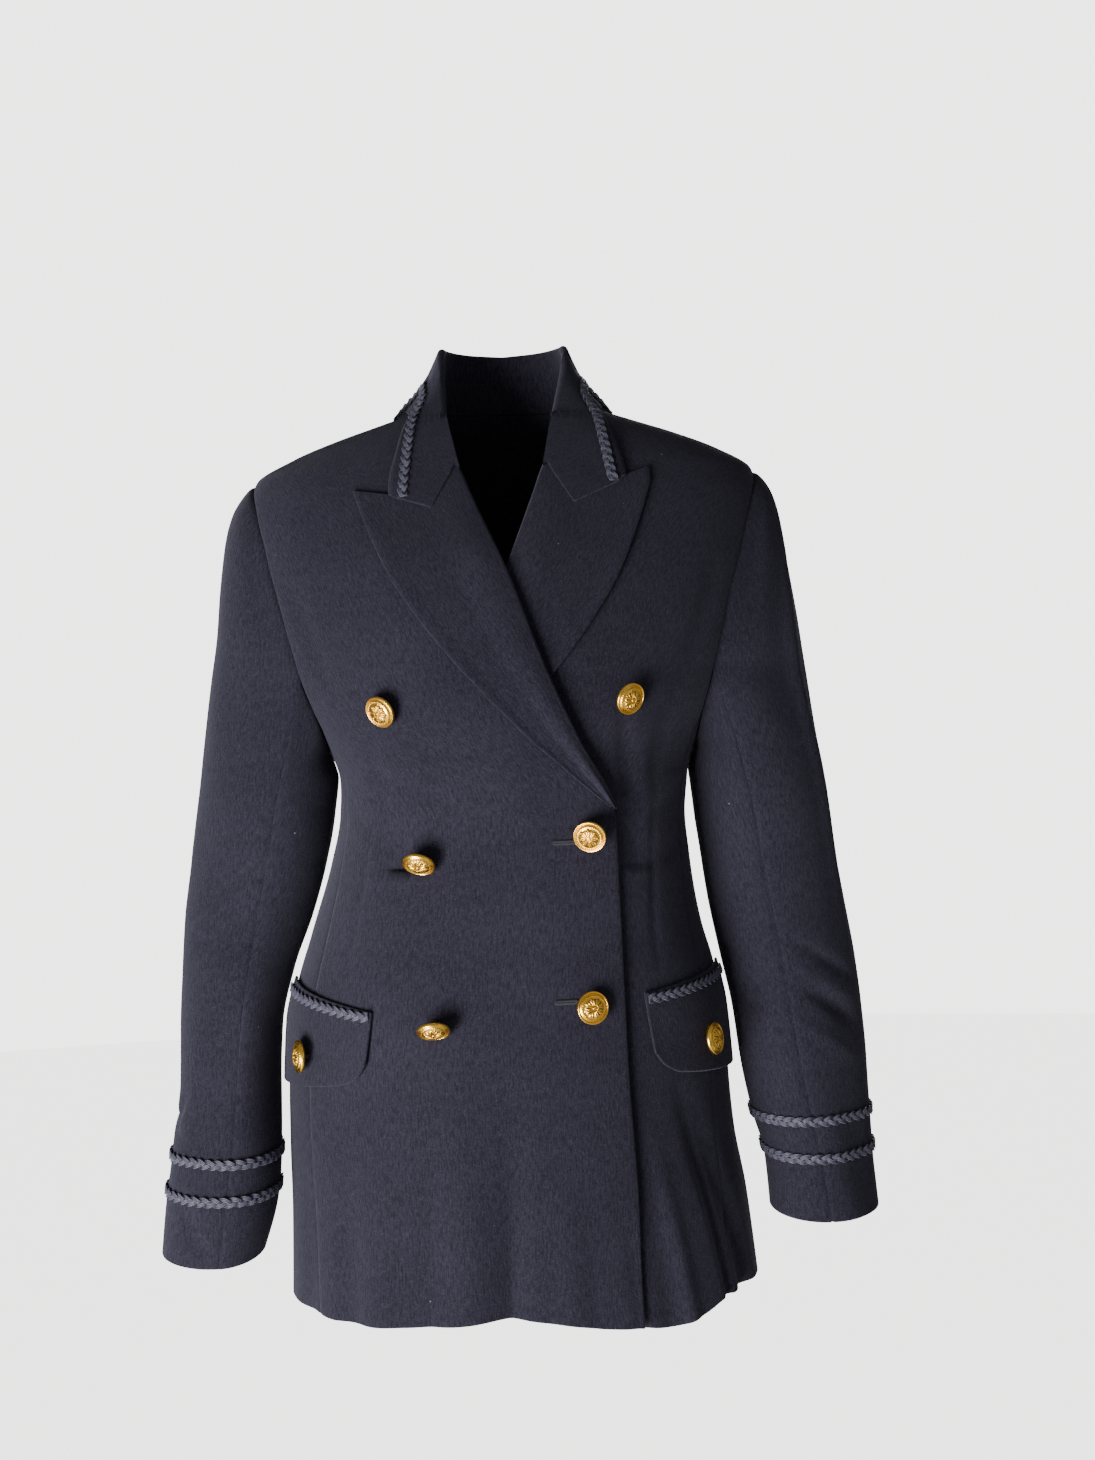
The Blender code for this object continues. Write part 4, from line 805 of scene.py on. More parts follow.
def collar_grid(turns):
    """Upper face of the collar: stations along turns, from the seam over the fold to the edge."""
    side, at = np.where(turns > 0, LEFT, RIGHT), np.abs(turns)
    seam_z = read(COLLAR, "seam_z", at)
    border = np.abs(np.where(side == LEFT, *(border_angle(way, seam_z) for way in (LEFT, RIGHT))))
    back_off = np.degrees(COLLAR_TO_SEAM / read(RINGS, "half", seam_z))
    on_back = at < COLLAR_FRONT_FROM
    seam_angle = side * np.where(on_back, read(COLLAR, "seam_angle", at), border - back_off)
    seam = body(seam_angle, seam_z, np.where(on_back, -CLOTH - SEAM_GAP, -CLOTH))
    seam[..., 2] += COLLAR_OVER_SEAM
    fold = xyz(side * read(COLLAR, "fold_x", at), read(COLLAR, "fold_y", at), read(COLLAR, "fold_z", at))
    fold[..., 0] += COLLAR_LEAN * ease(fold[..., 2], *COLLAR_LEAN_Z)
    edge = body(side * read(COLLAR, "edge_angle", at), read(COLLAR, "edge_z", at), COLLAR_LIFT + 0 * at)
    out = unit((edge - seam) * np.array([1.0, 1.0, 0.0]))
    up = np.array([0.0, 0.0, 1.0])
    over = fold - up * COLLAR_FOLD_RADIUS
    foot = over - out * COLLAR_FOLD_RADIUS
    points = [mix(seam, foot, t) for t in np.linspace(0, 1, COLLAR_STAND_POINTS)[:-1]]
    reach = edge - over
    leaving = np.arctan2(np.sum(reach * out, axis=1), reach[:, 2])
    leaving += np.arcsin(COLLAR_FOLD_RADIUS / np.linalg.norm(reach, axis=1))
    for share in np.linspace(0, 1, COLLAR_FOLD_POINTS):
        bend = (leaving * share)[:, None]
        rounded = over + (up * np.sin(bend) - out * np.cos(bend)) * COLLAR_FOLD_RADIUS
        points.append(clear_of_front(rounded) if share > 0 else rounded)
    start = points[-1]
    bent = ease(at, COLLAR_END_FROM, 1)[:, None]
    belly = read(COLLAR, "belly", at)[:, None]
    for t in np.linspace(0, 1, COLLAR_FALL_POINTS)[1:]:
        straight = mix(start, edge, t) + out * (belly * sin(pi * t))
        turned = mix(start, gorge_points(side, t), min(t / GORGE_START, 1.0))
        point = mix(straight, turned, bent)
        points.append(clear_of_front(point) if t < 1 else mix(edge, turned, bent))
    return np.stack(points, axis=0)


# ------------------------------------------------------------------ lapels and flaps
def lapel_place(side, across, down):
    """x (own side negative) and height of places on a lapel."""
    top = LAPEL_TOP[side]
    edge_z = mix(top[0].z, LAPEL_BOTTOM_Z, down)
    roll_z = mix(top[-1].z, LAPEL_BOTTOM_Z - 2, down)
    tip_shift = (top[0].x - LAPEL_EDGE[0].x) * (1 - ease(down, 0, LAPEL_TIP_ENDS))
    edge = np.stack([read(LAPEL_EDGE, "x", edge_z) + tip_shift, edge_z], axis=-1)
    roll = np.stack([read(FRONT_EDGE, "x", roll_z), roll_z], axis=-1)
    marks, xs, zs = zip(*top)
    brow = np.stack([np.interp(across, marks, xs), np.interp(across, marks, zs)], axis=-1)
    ends = np.array([top[0][1:], top[-1][1:]], float)
    straight_brow = mix(*ends, across[..., None])
    place = mix(edge, roll, across[..., None]) + (brow - straight_brow) * (1 - down)[..., None]
    return place[..., 0], place[..., 1]


def lapel_grid(side):
    """Outer face of a lapel, with its last columns turned down round the border of the front."""
    across, down = np.broadcast_arrays(columns_over(LAPEL_WIDTH), columns_over(LAPEL_LENGTH).T)
    x, z = lapel_place(side, across, down)
    angle = angle_at(-side * x, z)
    roll = np.sin(pi * ease(across, *LAPEL_ROLL_ACROSS)) * LAPEL_ROLL * ease(down, *LAPEL_ROLL_DOWN)
    if side == LEFT:
        roll *= 1 - ease(down, *LEFT_LAPEL_ROLL_ENDS)
    lift = front_lift(side, angle, z) + NAP_GAP + LAPEL_CLOTH + roll
    lift += LAPEL_EDGE_LOFT * hump(across / LAPEL_EDGE_WIDTH) * np.sin(pi * np.clip(down, 0, 1)) ** 0.5
    flat = body(angle, z, lift)
    turns = []
    for turn in np.radians(np.linspace(0, LAPEL_ROLL_TURN, LAPEL_ROLL_STEPS + 1))[1:]:
        past_x = x[:, -1] + LAPEL_ROLL_RADIUS * sin(turn)
        past_angle = angle_at(-side * past_x, z[:, -1])
        low = lift[:, -1] - LAPEL_ROLL_RADIUS * (1 - cos(turn))
        turns.append(body(past_angle, z[:, -1], low))
    grid = np.concatenate([flat, np.stack(turns, axis=1)], axis=1)
    return grid if side == RIGHT else grid[:, ::-1]


def flap_ends(side, across):
    """Heights of the top and the bottom of a flap."""
    raised = FLAP_RAISE[side] * (1 - 0.7 * across)
    return read(FLAP_OUTLINE, "top", across) + raised, read(FLAP_OUTLINE, "bottom", across)


def flap_place(side, across, down):
    z = mix(*flap_ends(side, across), down)
    front = angle_at(FLAP_FRONT_X[side] + side * FLAP_SLANT * down, z)
    return mix(front, side * FLAP_BACK_ANGLE, across), z


def flap_point(side, across, down, above):
    """Points at a height above the flap's inner face."""
    across, down = np.broadcast_arrays(np.asarray(across, float), np.asarray(down, float))
    angle, z = flap_place(side, across, down)
    lift = front_lift(side, angle, z) + FLAP_LIFT + FLAP_FLARE * down**2 * (1 - 0.55 * across)
    return body(angle, z, lift + above)


def flap_grid(side):
    across = np.linspace(0, 1, spaced(FLAP_WIDTH, FLAP_STEP_SHARE))[None, :] ** 1.15
    down = np.linspace(0, 1, spaced(FLAP_LENGTH, FLAP_STEP_SHARE))[:, None]
    grid = flap_point(side, across, down, FLAP_CLOTH)
    return grid if side == LEFT else grid[:, ::-1]


# ------------------------------------------------------------------ node helpers
class Graph:
    """A node tree, with a short call for each kind of node that is used often."""

    def __init__(self, tree):
        self.tree = tree

    def put(self, value, socket):
        """Sets a socket, or links it where the value is a socket too."""
        if isinstance(value, bpy.types.NodeSocket):
            self.tree.links.new(value, socket)
        else:
            socket.default_value = value

    def node(self, kind, values=None, **settings):
        made = self.tree.nodes.new(kind)
        for key, value in settings.items():
            setattr(made, key, value)
        for key, value in (values or {}).items():
            self.put(value, made.inputs[key])
        return made

    def out(self, kind, values=None, **settings):
        return self.node(kind, values, **settings).outputs[0]

    def maths(self, operation, first, second=0.0):
        return self.out("ShaderNodeMath", {0: first, 1: second}, operation=operation)

    def plus(self, first, second):
        return self.maths("ADD", first, second)

    def minus(self, first, second):
        return self.maths("SUBTRACT", first, second)

    def times(self, first, second):
        return self.maths("MULTIPLY", first, second)

    def vector(self, x, y, z):
        return self.out("ShaderNodeCombineXYZ", {0: x, 1: y, 2: z})

    def vector_maths(self, operation, first, values):
        return self.out("ShaderNodeVectorMath", {0: first, **values}, operation=operation)

    def noise(self, vector, scale, detail=3.0, roughness=0.5, stretch=None):
        if stretch:
            vector = self.out("ShaderNodeMapping", {"Vector": vector, "Scale": stretch})
        values = {"Vector": vector, "Scale": scale, "Detail": detail, "Roughness": roughness}
        return self.node("ShaderNodeTexNoise", values).outputs["Fac"]

    def ramp(self, value, low, high, to_low=0.0, to_high=1.0):
        values = {0: value, 1: low, 2: high, 3: to_low, 4: to_high}
        return self.out("ShaderNodeMapRange", values, interpolation_type="SMOOTHSTEP")

    def blend(self, share, first, second):
        first, second = (c if isinstance(c, bpy.types.NodeSocket) else (*c, 1) for c in (first, second))
        return self.node("ShaderNodeMix", {"Factor": share, 6: first, 7: second}, data_type="RGBA").outputs[2]

    def bump(self, height, distance, strength, under=None):
        values = {"Height": height, "Distance": distance, "Strength": strength}
        if under is not None:
            values["Normal"] = under
        return self.out("ShaderNodeBump", values)

    def attribute(self, name, kind="FLOAT_VECTOR"):
        return self.out("GeometryNodeInputNamedAttribute", {"Name": name}, data_type=kind)

    def tube(self, curve, sides, radius):
        ring = self.out("GeometryNodeCurvePrimitiveCircle", {"Resolution": sides, "Radius": radius})
        return self.out("GeometryNodeCurveToMesh", {"Curve": curve, "Profile Curve": ring, "Fill Caps": True})


# ------------------------------------------------------------------ materials
class Look(Graph):
    """The node tree of a new material."""

    def __init__(self, name):
        self.material = bpy.data.materials.new(name)
        self.material.use_nodes = True
        super().__init__(self.material.node_tree)
        self.place = self.node("ShaderNodeTexCoord").outputs["Object"]

    def stored(self, name):
        """A value that the mesh carries under this name."""
        return self.node("ShaderNodeAttribute", attribute_name=name).outputs["Fac"]

    def finish(self, values):
        for name, value in values.items():
            self.put(value, self.tree.nodes["Principled BSDF"].inputs[name])
        return self.material


def scaled(colour, factor):
    return tuple(min(factor * part, 1.0) for part in colour)


def get_material(name):
    return bpy.data.materials.get(name) or MATERIAL_MAKERS[name](name)


def make_wool(name):
    """Napped twill: upright ribs under short raised fibres, a soft bloom, and a few specks of lint."""
    cloth = bpy.context.scene.blazer_cloth
    look = Look(name)
    uv = look.out("ShaderNodeUVMap", uv_map="cloth")
    ribs = look.noise(uv, 1 / cloth.twill_pitch, 2.0, 0.6, (1.0, 0.16, 1.0))
    streaks = look.noise(uv, 0.6 / cloth.twill_pitch, 3.0, 0.6, (1.0, 0.45, 1.0))
    fibres = look.noise(look.place, 1100.0, 4.0, 0.7)
    tufts = look.noise(look.place, 620.0, 3.0, 0.6)
    cloud = look.noise(look.place, 11.0, 4.0, 0.55)
    deep = scaled(cloth.wool, 0.30)
    colour = look.blend(look.ramp(fibres, 0.36, 0.70, 0.0, 0.75), cloth.wool, cloth.nap)
    colour = look.blend(look.ramp(cloud, 0.3, 0.75, 0.0, 0.40), colour, cloth.nap)
    colour = look.blend(look.ramp(ribs, 0.36, 0.56, 0.45, 0.0), colour, deep)
    colour = look.blend(look.ramp(streaks, 0.40, 0.56, 0.28, 0.0), colour, deep)
    colour = look.blend(look.ramp(tufts, 0.50, 0.72, 0.0, 0.28), colour, scaled(cloth.nap, 1.5))
    lint = look.node("ShaderNodeTexVoronoi", {"Vector": look.place, "Scale": 95.0}, feature="F1").outputs
    speck = look.ramp(lint["Distance"], 0.050, 0.075, 1.0, 0.0)
    chance = look.ramp(lint["Color"], 0.90, 0.93, 0.0, 0.55)
    colour = look.blend(look.times(speck, chance), colour, LINT_COLOUR)
    relief = look.bump(look.noise(look.place, 26.0, 2.0, 0.5), 0.0035, 0.35)
    for height, distance, strength in ((ribs, 0.0008, 0.6), (streaks, 0.0008, 0.25),
                                       (tufts, 0.0009, 0.50), (fibres, 0.0004, 0.55)):
        relief = look.bump(height, distance, strength, relief)
    return look.finish({
        "Base Color": colour, "Roughness": look.ramp(tufts, 0.3, 0.7, 0.86, 0.98), "Normal": relief,
        "Specular IOR Level": 0.10, "Sheen Weight": 0.12, "Sheen Roughness": 0.5,
        "Sheen Tint": (0.70, 0.68, 0.90, 1)})


def make_cord(name):
    """Twisted navy yarn with a soft lustre, and painted shade where it dives under its neighbours."""
    plain_colour = bpy.context.scene.blazer_braid.colour
    look = Look(name)
    yarn = look.noise(look.place, 1900.0, 3.0, 0.6)
    shade = look.noise(look.place, 160.0, 2.0, 0.5)
    colour = look.blend(look.ramp(yarn, 0.3, 0.6), scaled(plain_colour, 0.5), plain_colour)
    colour = look.blend(look.ramp(shade, 0.45, 0.8, 0.0, 0.6), colour, scaled(plain_colour, 1.5))
    # Painted shade: the cord is darkened where the stored over value says it passes under the others.
    painted_under_shade = look.ramp(look.stored("over"), -0.9, 0.5, 0.85, 0.0)
    return look.finish({
        "Base Color": look.blend(painted_under_shade, colour, scaled(plain_colour, 0.12)),
        "Roughness": 0.48, "Specular IOR Level": 0.45, "Sheen Weight": 0.25, "Sheen Roughness": 0.4,
        "Sheen Tint": (0.80, 0.78, 1.0, 1), "Normal": look.bump(yarn, 0.0003, 0.4)})


def make_thread(name):
    """Buttonhole twist and shank thread."""
    look = Look(name)
    yarn = look.noise(look.place, 3000.0, 2.0, 0.6)
    return look.finish({
        "Base Color": look.blend(look.ramp(yarn, 0.3, 0.7), *THREAD_COLOURS),
        "Roughness": 0.6, "Normal": look.bump(yarn, 0.0003, 0.5)})


def make_gold(name):
    """Bright raised metal, darker and duller in the hollows of the relief and on the sides of its ornament:
    patina and painted shade.
    """
    buttons = bpy.context.scene.blazer_buttons
    look = Look(name)
    worn = look.noise(look.place, 700.0, 4.0, 0.6)
    # Patina and painted shade from the stored share, with random wear on top.
    stain_and_shade = look.plus(look.stored("hollow"), look.ramp(worn, 0.35, 0.7, -0.15, 0.2))
    return look.finish({
        "Base Color": look.blend(look.ramp(stain_and_shade, 0.3, 1.0), buttons.metal, buttons.patina_and_shade_colour),
        "Roughness": look.ramp(stain_and_shade, 0.1, 0.9, 0.26, 0.42), "Metallic": 1.0,
        "Normal": look.bump(worn, 0.0002, 0.18)})


def make_floor(name):
    """Pale floor that is seen as bright as the backdrop."""
    stage = bpy.context.scene.blazer_stage
    look = Look(name)
    share = look.ramp(look.noise(look.place, 3.0), 0.3, 0.7, 0.0, 0.3)
    seen = look.node("ShaderNodeLightPath").outputs["Is Camera Ray"]
    return look.finish({
        "Base Color": look.blend(share, stage.floor, scaled(stage.floor, 0.97)), "Roughness": 0.9,
        "Emission Color": (*stage.floor, 1),
        "Emission Strength": look.times(seen, stage.wall * FLOOR_TO_WALL)})


MATERIAL_MAKERS = {
    "napped_wool": make_wool,
    "braid_cord": make_cord,
    "sewing_thread": make_thread,
    "gold_metal": make_gold,
    "pale_floor": make_floor,
}


# ------------------------------------------------------------------ Geometry Nodes
def new_tree(name, inputs):
    """Graph of a node group that takes points and the named inputs, and the group's inputs."""
    tree = bpy.data.node_groups.new(name, "GeometryNodeTree")
    tree.interface.new_socket("Points", in_out="INPUT", socket_type="NodeSocketGeometry")
    for label, kind, value in inputs:
        tree.interface.new_socket(label, in_out="INPUT", socket_type=kind).default_value = value
    tree.interface.new_socket("Geometry", in_out="OUTPUT", socket_type="NodeSocketGeometry")
    return Graph(tree), tree.nodes.new("NodeGroupInput").outputs


def finish_tree(graph, geometry, look):
    realized = graph.out("GeometryNodeRealizeInstances", {"Geometry": geometry})
    coloured = graph.out("GeometryNodeSetMaterial", {"Geometry": realized, "Material": look})
    smooth = graph.out("GeometryNodeSetShadeSmooth", {"Geometry": coloured})
    graph.put(smooth, graph.tree.nodes.new("NodeGroupOutput").inputs[0])
    return graph.tree


def facing(graph):
    """Rotation that turns X along the path and Z out of the cloth, from the points' attributes."""
    along = graph.out("FunctionNodeAlignRotationToVector", {"Vector": graph.attribute("ahead")}, axis="X")
    return graph.out("FunctionNodeAlignRotationToVector",
                     {"Rotation": along, "Vector": graph.attribute("out")}, axis="Z", pivot_axis="X")


def plait_tree(look):
    """Flat plait of three strands: each swings from edge to edge and passes over and under the others,
    and is made of cords side by side."""
    graph, source = new_tree("plaited_braid", PLAIT_INPUTS)
    maths, plus, minus, times = graph.maths, graph.plus, graph.minus, graph.times
    cord = source["Cord Thickness"]
    run, ahead, out = graph.attribute("run", "FLOAT"), graph.attribute("ahead"), graph.attribute("out")
    stations = graph.out("GeometryNodeMeshToPoints", {"Mesh": source["Points"]})
    copies, number = graph.node("GeometryNodeDuplicateElements",
                                {"Geometry": stations, "Amount": STRANDS * CORDS_IN_STRAND},
                                domain="POINT").outputs[:2]
    strand = maths("FLOOR", maths("DIVIDE", number, CORDS_IN_STRAND))
    beside = minus(maths("MODULO", number, CORDS_IN_STRAND), (CORDS_IN_STRAND - 1) / 2)
    seeded = graph.vector(times(run, 90.0), times(strand, 7.3), source["Seed"])
    uneven = minus(graph.noise(seeded, 1.0, 1.0), 0.5)
    turns = plus(maths("DIVIDE", run, source["Period"]), maths("DIVIDE", strand, STRANDS))
    phase = plus(times(turns, 2 * pi), times(uneven, 0.5))
    swing = times(minus(source["Width"], times(cord, CORDS_IN_STRAND)), 0.5)
    aside = plus(times(maths("SINE", phase), swing), times(beside, cord))
    over = maths("TANH", times(maths("SINE", times(phase, 2.0)), 1.8))
    height = plus(times(plus(over, 1.0), source["Rise"]), times(cord, 0.35))
    across = graph.vector_maths("CROSS_PRODUCT", out, {1: ahead})
    moved = graph.vector_maths("SCALE", across, {"Scale": aside})
    raised = graph.vector_maths("SCALE", out, {"Scale": height})
    # The over value is kept on the cords for their painted shade where they pass under.
    marked = graph.out("GeometryNodeStoreNamedAttribute",
                       {"Geometry": copies, "Name": "over", "Value": over}, data_type="FLOAT", domain="POINT")
    placed = graph.out("GeometryNodeSetPosition",
                       {"Geometry": marked, "Offset": graph.vector_maths("ADD", moved, {1: raised})})
    lines = graph.out("GeometryNodePointsToCurves",
                      {"Points": placed, "Curve Group ID": number, "Weight": run})
    ends = graph.out("GeometryNodeSetSplineCyclic", {"Geometry": lines, "Cyclic": source["Closed"]})
    return finish_tree(graph, graph.tube(ends, CORD_SIDES, times(cord, 0.51)), look)


def stitch_tree(look):
    """Short arched stitches set side by side across a path."""
    graph, source = new_tree("buttonhole_stitches", STITCH_INPUTS)
    thread, length = source["Thread Thickness"], source["Stitch Length"]

    def place(aside, up):
        return graph.vector(0.0, graph.times(length, aside), graph.times(thread, up))

    arch = graph.out("GeometryNodeCurvePrimitiveBezierSegment", {
        "Resolution": 4, "Start": place(-0.5, -0.4), "Start Handle": place(-0.45, 1.2),
        "End Handle": place(0.45, 1.5), "End": place(0.5, -0.2)})
    turn = graph.out("FunctionNodeRandomValue",
                     {"Min": (-0.05, -0.05, -0.12), "Max": (0.05, 0.05, 0.12), "Seed": source["Seed"]},
                     data_type="FLOAT_VECTOR")
    turned = graph.out("FunctionNodeRotateRotation", {"Rotation": facing(graph), "Rotate By": turn},
                       rotation_space="LOCAL")
    tube = graph.tube(arch, 5, graph.times(thread, 0.55))
    stitches = graph.out("GeometryNodeInstanceOnPoints",
                         {"Points": source["Points"], "Instance": tube, "Rotation": turned})
    return finish_tree(graph, stitches, look)


def grow_on_path(name, tree, path, ahead, out, values):
    """Runs a node tree on a path's points and keeps the result as a plain mesh."""
    points = bpy.data.meshes.new(name + "_path")
    points.from_pydata((path * MM).tolist(), [], [])
    run = run_along(path, 0) * MM
    points.attributes.new("run", "FLOAT", "POINT").data.foreach_set("value", run.astype(np.float32))
    for label, vectors in (("ahead", ahead), ("out", out)):
        attribute = points.attributes.new(label, "FLOAT_VECTOR", "POINT")
        attribute.data.foreach_set("vector", vectors.astype(np.float32).ravel())
    carrier = add_object(name + "_path", points)
    modifier = carrier.modifiers.new("grow", "NODES")
    modifier.node_group = tree
    for item in tree.interface.items_tree:
        if item.in_out == "INPUT" and item.name in values:
            modifier[item.identifier] = values[item.name]
    bpy.context.view_layer.update()
    grown = carrier.evaluated_get(bpy.context.evaluated_depsgraph_get())
    mesh = bpy.data.meshes.new_from_object(grown)
    mesh.name = name
    bpy.data.objects.remove(carrier)
    return add_piece(name, mesh)


def resample(path, outs, step, closed=False):
    """Points at an even step along a path, with the directions ahead and out at each."""
    if closed:
        path, outs = np.vstack([path, path[:1]]), np.vstack([outs, outs[:1]])
    run = run_along(path, 0)
    count = max(int(round(run[-1] / step / 2)) * 2, 4)
    places = np.linspace(0, run[-1], count + 1)[:-1] + (0 if closed else run[-1] / count / 2)
    points = np.stack([np.interp(places, run, path[:, k]) for k in range(3)], axis=1)
    ways = np.stack([np.interp(places, run, outs[:, k]) for k in range(3)], axis=1)
    if closed:
        ahead = np.roll(points, -1, axis=0) - np.roll(points, 1, axis=0)
    else:
        ahead = np.gradient(points, axis=0)
    return points, unit(ahead), unit(ways)


def add_braid(node, path, outs, closed=False):
    """Plaited braid on a path, with a whole number of turns of the plait."""
    braid = bpy.context.scene.blazer_braid
    points, ahead, out = resample(path, unit(outs), CORD_STEP, closed)
    out = unit(out - ahead * np.sum(out * ahead, axis=1)[:, None])
    ring = np.vstack([points, points[:1]]) if closed else points
    length = run_along(ring, 0)[-1] * MM
    tree = bpy.data.node_groups.get("plaited_braid") or plait_tree(get_material("braid_cord"))
    values = {"Cord Thickness": braid.cord, "Period": length / max(round(length / braid.period), 1),
              "Width": braid.width, "Rise": braid.rise, "Closed": closed, "Seed": braid.seed}
    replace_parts(grow_on_path(node + "_cords", tree, points, ahead, out, values), node)


# ------------------------------------------------------------------ braid paths
def cuff_path(side, above):
    """Ring round a sleeve: points and outward directions."""
    z = CUFF_Z[side] + above
    turn = np.linspace(0, 2, CUFF_PATH_POINTS + 1)[:-1]
    half_turn = np.where(turn <= 1, turn, 2 - turn)

    def around(height):
        outer, inner = (sleeve_point(side, height, half_turn, half) for half in ("outer", "inner"))
        return np.where((turn <= 1)[:, None], outer, inner)

    path = around(z)
    ahead = np.roll(path, -1, axis=0) - np.roll(path, 1, axis=0)
    outs = unit(np.cross(around(z - 2) - around(z + 2), ahead)) * -side
    outs *= np.sign(np.sum(outs * (path - path.mean(axis=0)), axis=1).mean())
    return path, outs


def flap_braid_path(side):
    across = np.linspace(0.0, BRAID_ON_FLAP_TO, FLAP_PATH_POINTS)
    low = flap_point(side, across, BRAID_ON_FLAP_AT, FLAP_CLOTH)
    return low, flap_point(side, across, BRAID_ON_FLAP_AT, FLAP_CLOTH + 1) - low


def collar_braid_path():
    """Along the fall of the collar, from its end on one front round the back to the other."""
    turns = np.linspace(-COLLAR_BRAID_TO, COLLAR_BRAID_TO, COLLAR_PATH_POINTS)
    grid = collar_grid(turns)[::-1]
    wanted = mix(*COLLAR_BRAID_FROM_EDGE, 1 - ease(np.abs(turns), *COLLAR_BRAID_TURNS))
    path, downward = [], []
    for column, (run, far) in enumerate(zip(run_along(grid, 0).T, wanted)):
        row = int(np.searchsorted(run, far))
        near, above = grid[row - 1, column], grid[row, column]
        path.append(mix(near, above, (far - run[row - 1]) / (run[row] - run[row - 1])))
        downward.append(near - above)
    path = np.array(path)
    return path, unit(np.cross(np.gradient(path, axis=0), np.array(downward)))


# ------------------------------------------------------------------ buttons
def button_relief(radius, turn):
    """Height of the ornament, and the share of patina and painted shade that darkens its sides and the
    groove: a rosette of petals in a ring of beads.
    """
    buttons = bpy.context.scene.blazer_buttons
    petal = np.abs(np.cos(turn * buttons.petals / 2))
    reach = ROSETTE_RADIUS * (0.60 + 0.40 * petal**0.6)
    inside = ease(reach - radius, 0, 0.5)
    vein = 1 - 0.55 * np.exp(-((1 - petal) * 9) ** 2) * ease(radius, 2.0, 3.2)
    edge = 1 - 0.75 * np.exp(-((petal - 0.04) * 6) ** 2)
    rosette = inside * edge * vein * ease(radius, 1.9, 2.6)
    eye = ease(1.8 - radius, 0, 0.5)
    between = ease(np.abs(np.sin(turn * buttons.petals / 2)), 0.86, 0.97)
    leaf = 0.85 * between * np.exp(-((radius - 6.5) / 0.8) ** 2)
    string = np.exp(-((radius - BEAD_RING_RADIUS) / 0.38) ** 2)
    bead = string * (0.5 + 0.5 * np.cos(turn * buttons.beads)) ** 0.8
    height = np.maximum.reduce([rosette, eye, leaf, bead])
    # Patina and painted shade on the sides of the ornament and in the groove round it.
    slope = 4 * height * (1 - height)
    groove = np.exp(-((radius - GROOVE_RADIUS) / 0.28) ** 2)
    return height, np.maximum(slope * ease(GROOVE_RADIUS - 0.15 - radius, 0, 0.5), groove)


def button_axes(seat, out, droop, lean):
    """Centre, axis and two directions across a button whose face is turned down and to one side."""
    out = unit(out)
    aside = unit(np.cross(np.array([0.0, 0.0, 1.0]), out))
    upward = np.cross(out, aside)
    angle = radians(np.hypot(droop, lean))
    tipped = unit(aside * lean - upward * droop)
    axis = out * cos(angle) + tipped * sin(angle)
    rise = out * sin(angle) - tipped * cos(angle)
    stand = max(BUTTON_STAND, BUTTON_RADIUS * sin(angle) + BUTTON_REST)
    centre = seat + out * stand + tipped * sin(angle) * BUTTON_HANG * stand
    return centre, axis, np.cross(rise, axis), rise


def tube_faces(rows, count, flip=False):
    """Quads between rings of points, and a cap at each end."""
    cells = np.arange(rows * count).reshape(rows, count)
    a, c = cells[:-1], cells[1:]
    b, d = np.roll(a, -1, axis=1), np.roll(c, -1, axis=1)
    first, last = cells[0], cells[-1][::-1]
    if flip:
        b, c, first, last = c, b, first[::-1], last[::-1]
    return np.stack([a, c, d, b], axis=-1).reshape(-1, 4).tolist() + [first.tolist(), last.tolist()]


def add_button(name, seat, out, droop, lean):
    centre, axis, aside, rise = button_axes(seat, out, droop, lean)
    relief = bpy.context.scene.blazer_buttons.relief / MM
    radii = np.concatenate([np.linspace(*rings) for rings in FACE_RINGS])
    turn = np.linspace(0, 2 * pi, BUTTON_STEPS, endpoint=False)[None, :]
    face_r = radii[:, None] + 0 * turn
    carved, hollow = button_relief(face_r, turn + 0 * face_r)
    face_h = read(DOME, "height", face_r) + relief * carved
    back_r, back_h = (np.array(column)[:, None] + 0 * turn for column in zip(*BUTTON_BACK))
    radius, height = np.vstack([face_r, back_r]), np.vstack([face_h, back_h])
    # The back of the metal gets half the patina and painted shade.
    hollow = np.vstack([hollow, np.full(back_r.shape, 0.5)])
    whole_turn = turn + 0 * radius
    spoke = aside * np.cos(whole_turn)[..., None] + rise * np.sin(whole_turn)[..., None]
    points = centre + axis * height[..., None] + spoke * radius[..., None]
    faces = tube_faces(len(points), BUTTON_STEPS)
    made = add_mesh(name + "_metal", points.reshape(-1, 3), faces, get_material("gold_metal"))
    attribute = made.data.attributes.new("hollow", "FLOAT", "POINT")
    attribute.data.foreach_set("value", hollow.astype(np.float32).ravel())
    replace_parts(made, name)
    add_shank(name + "_shank", seat, centre - axis * SHANK_IN)


def add_shank(name, foot, head):
    """Wrapped thread that holds a button, from the cloth to the back of the metal."""
    along = np.linspace(0, 1, SHANK_RINGS)[:, None]
    turn = np.linspace(0, 2 * pi, SHANK_SIDES, endpoint=False)[None, :]
    way = unit(head - foot)
    aside = unit(np.cross(way, np.array([1.0, 0.0, 0.0])))
    radius = SHANK_RADIUS * (1 + 0.35 * (2 * along - 1) ** 2 + 0.04 * np.cos(9 * turn + 16 * along))
    spoke = aside * np.cos(turn)[..., None] + np.cross(way, aside) * np.sin(turn)[..., None]
    points = mix(foot, head, along[..., None]) + spoke * radius[..., None]
    faces = tube_faces(SHANK_RINGS, SHANK_SIDES, flip=True)
    add_mesh(name, points.reshape(-1, 3), faces, get_material("sewing_thread"))


def flap_coordinates(side, angle, z):
    front = abs(float(angle_at(FLAP_FRONT_X[side], z)))
    across = (angle - front) / (FLAP_BACK_ANGLE - front)
    top, bottom = flap_ends(side, across)
    return across, float((z - top) / (bottom - top))


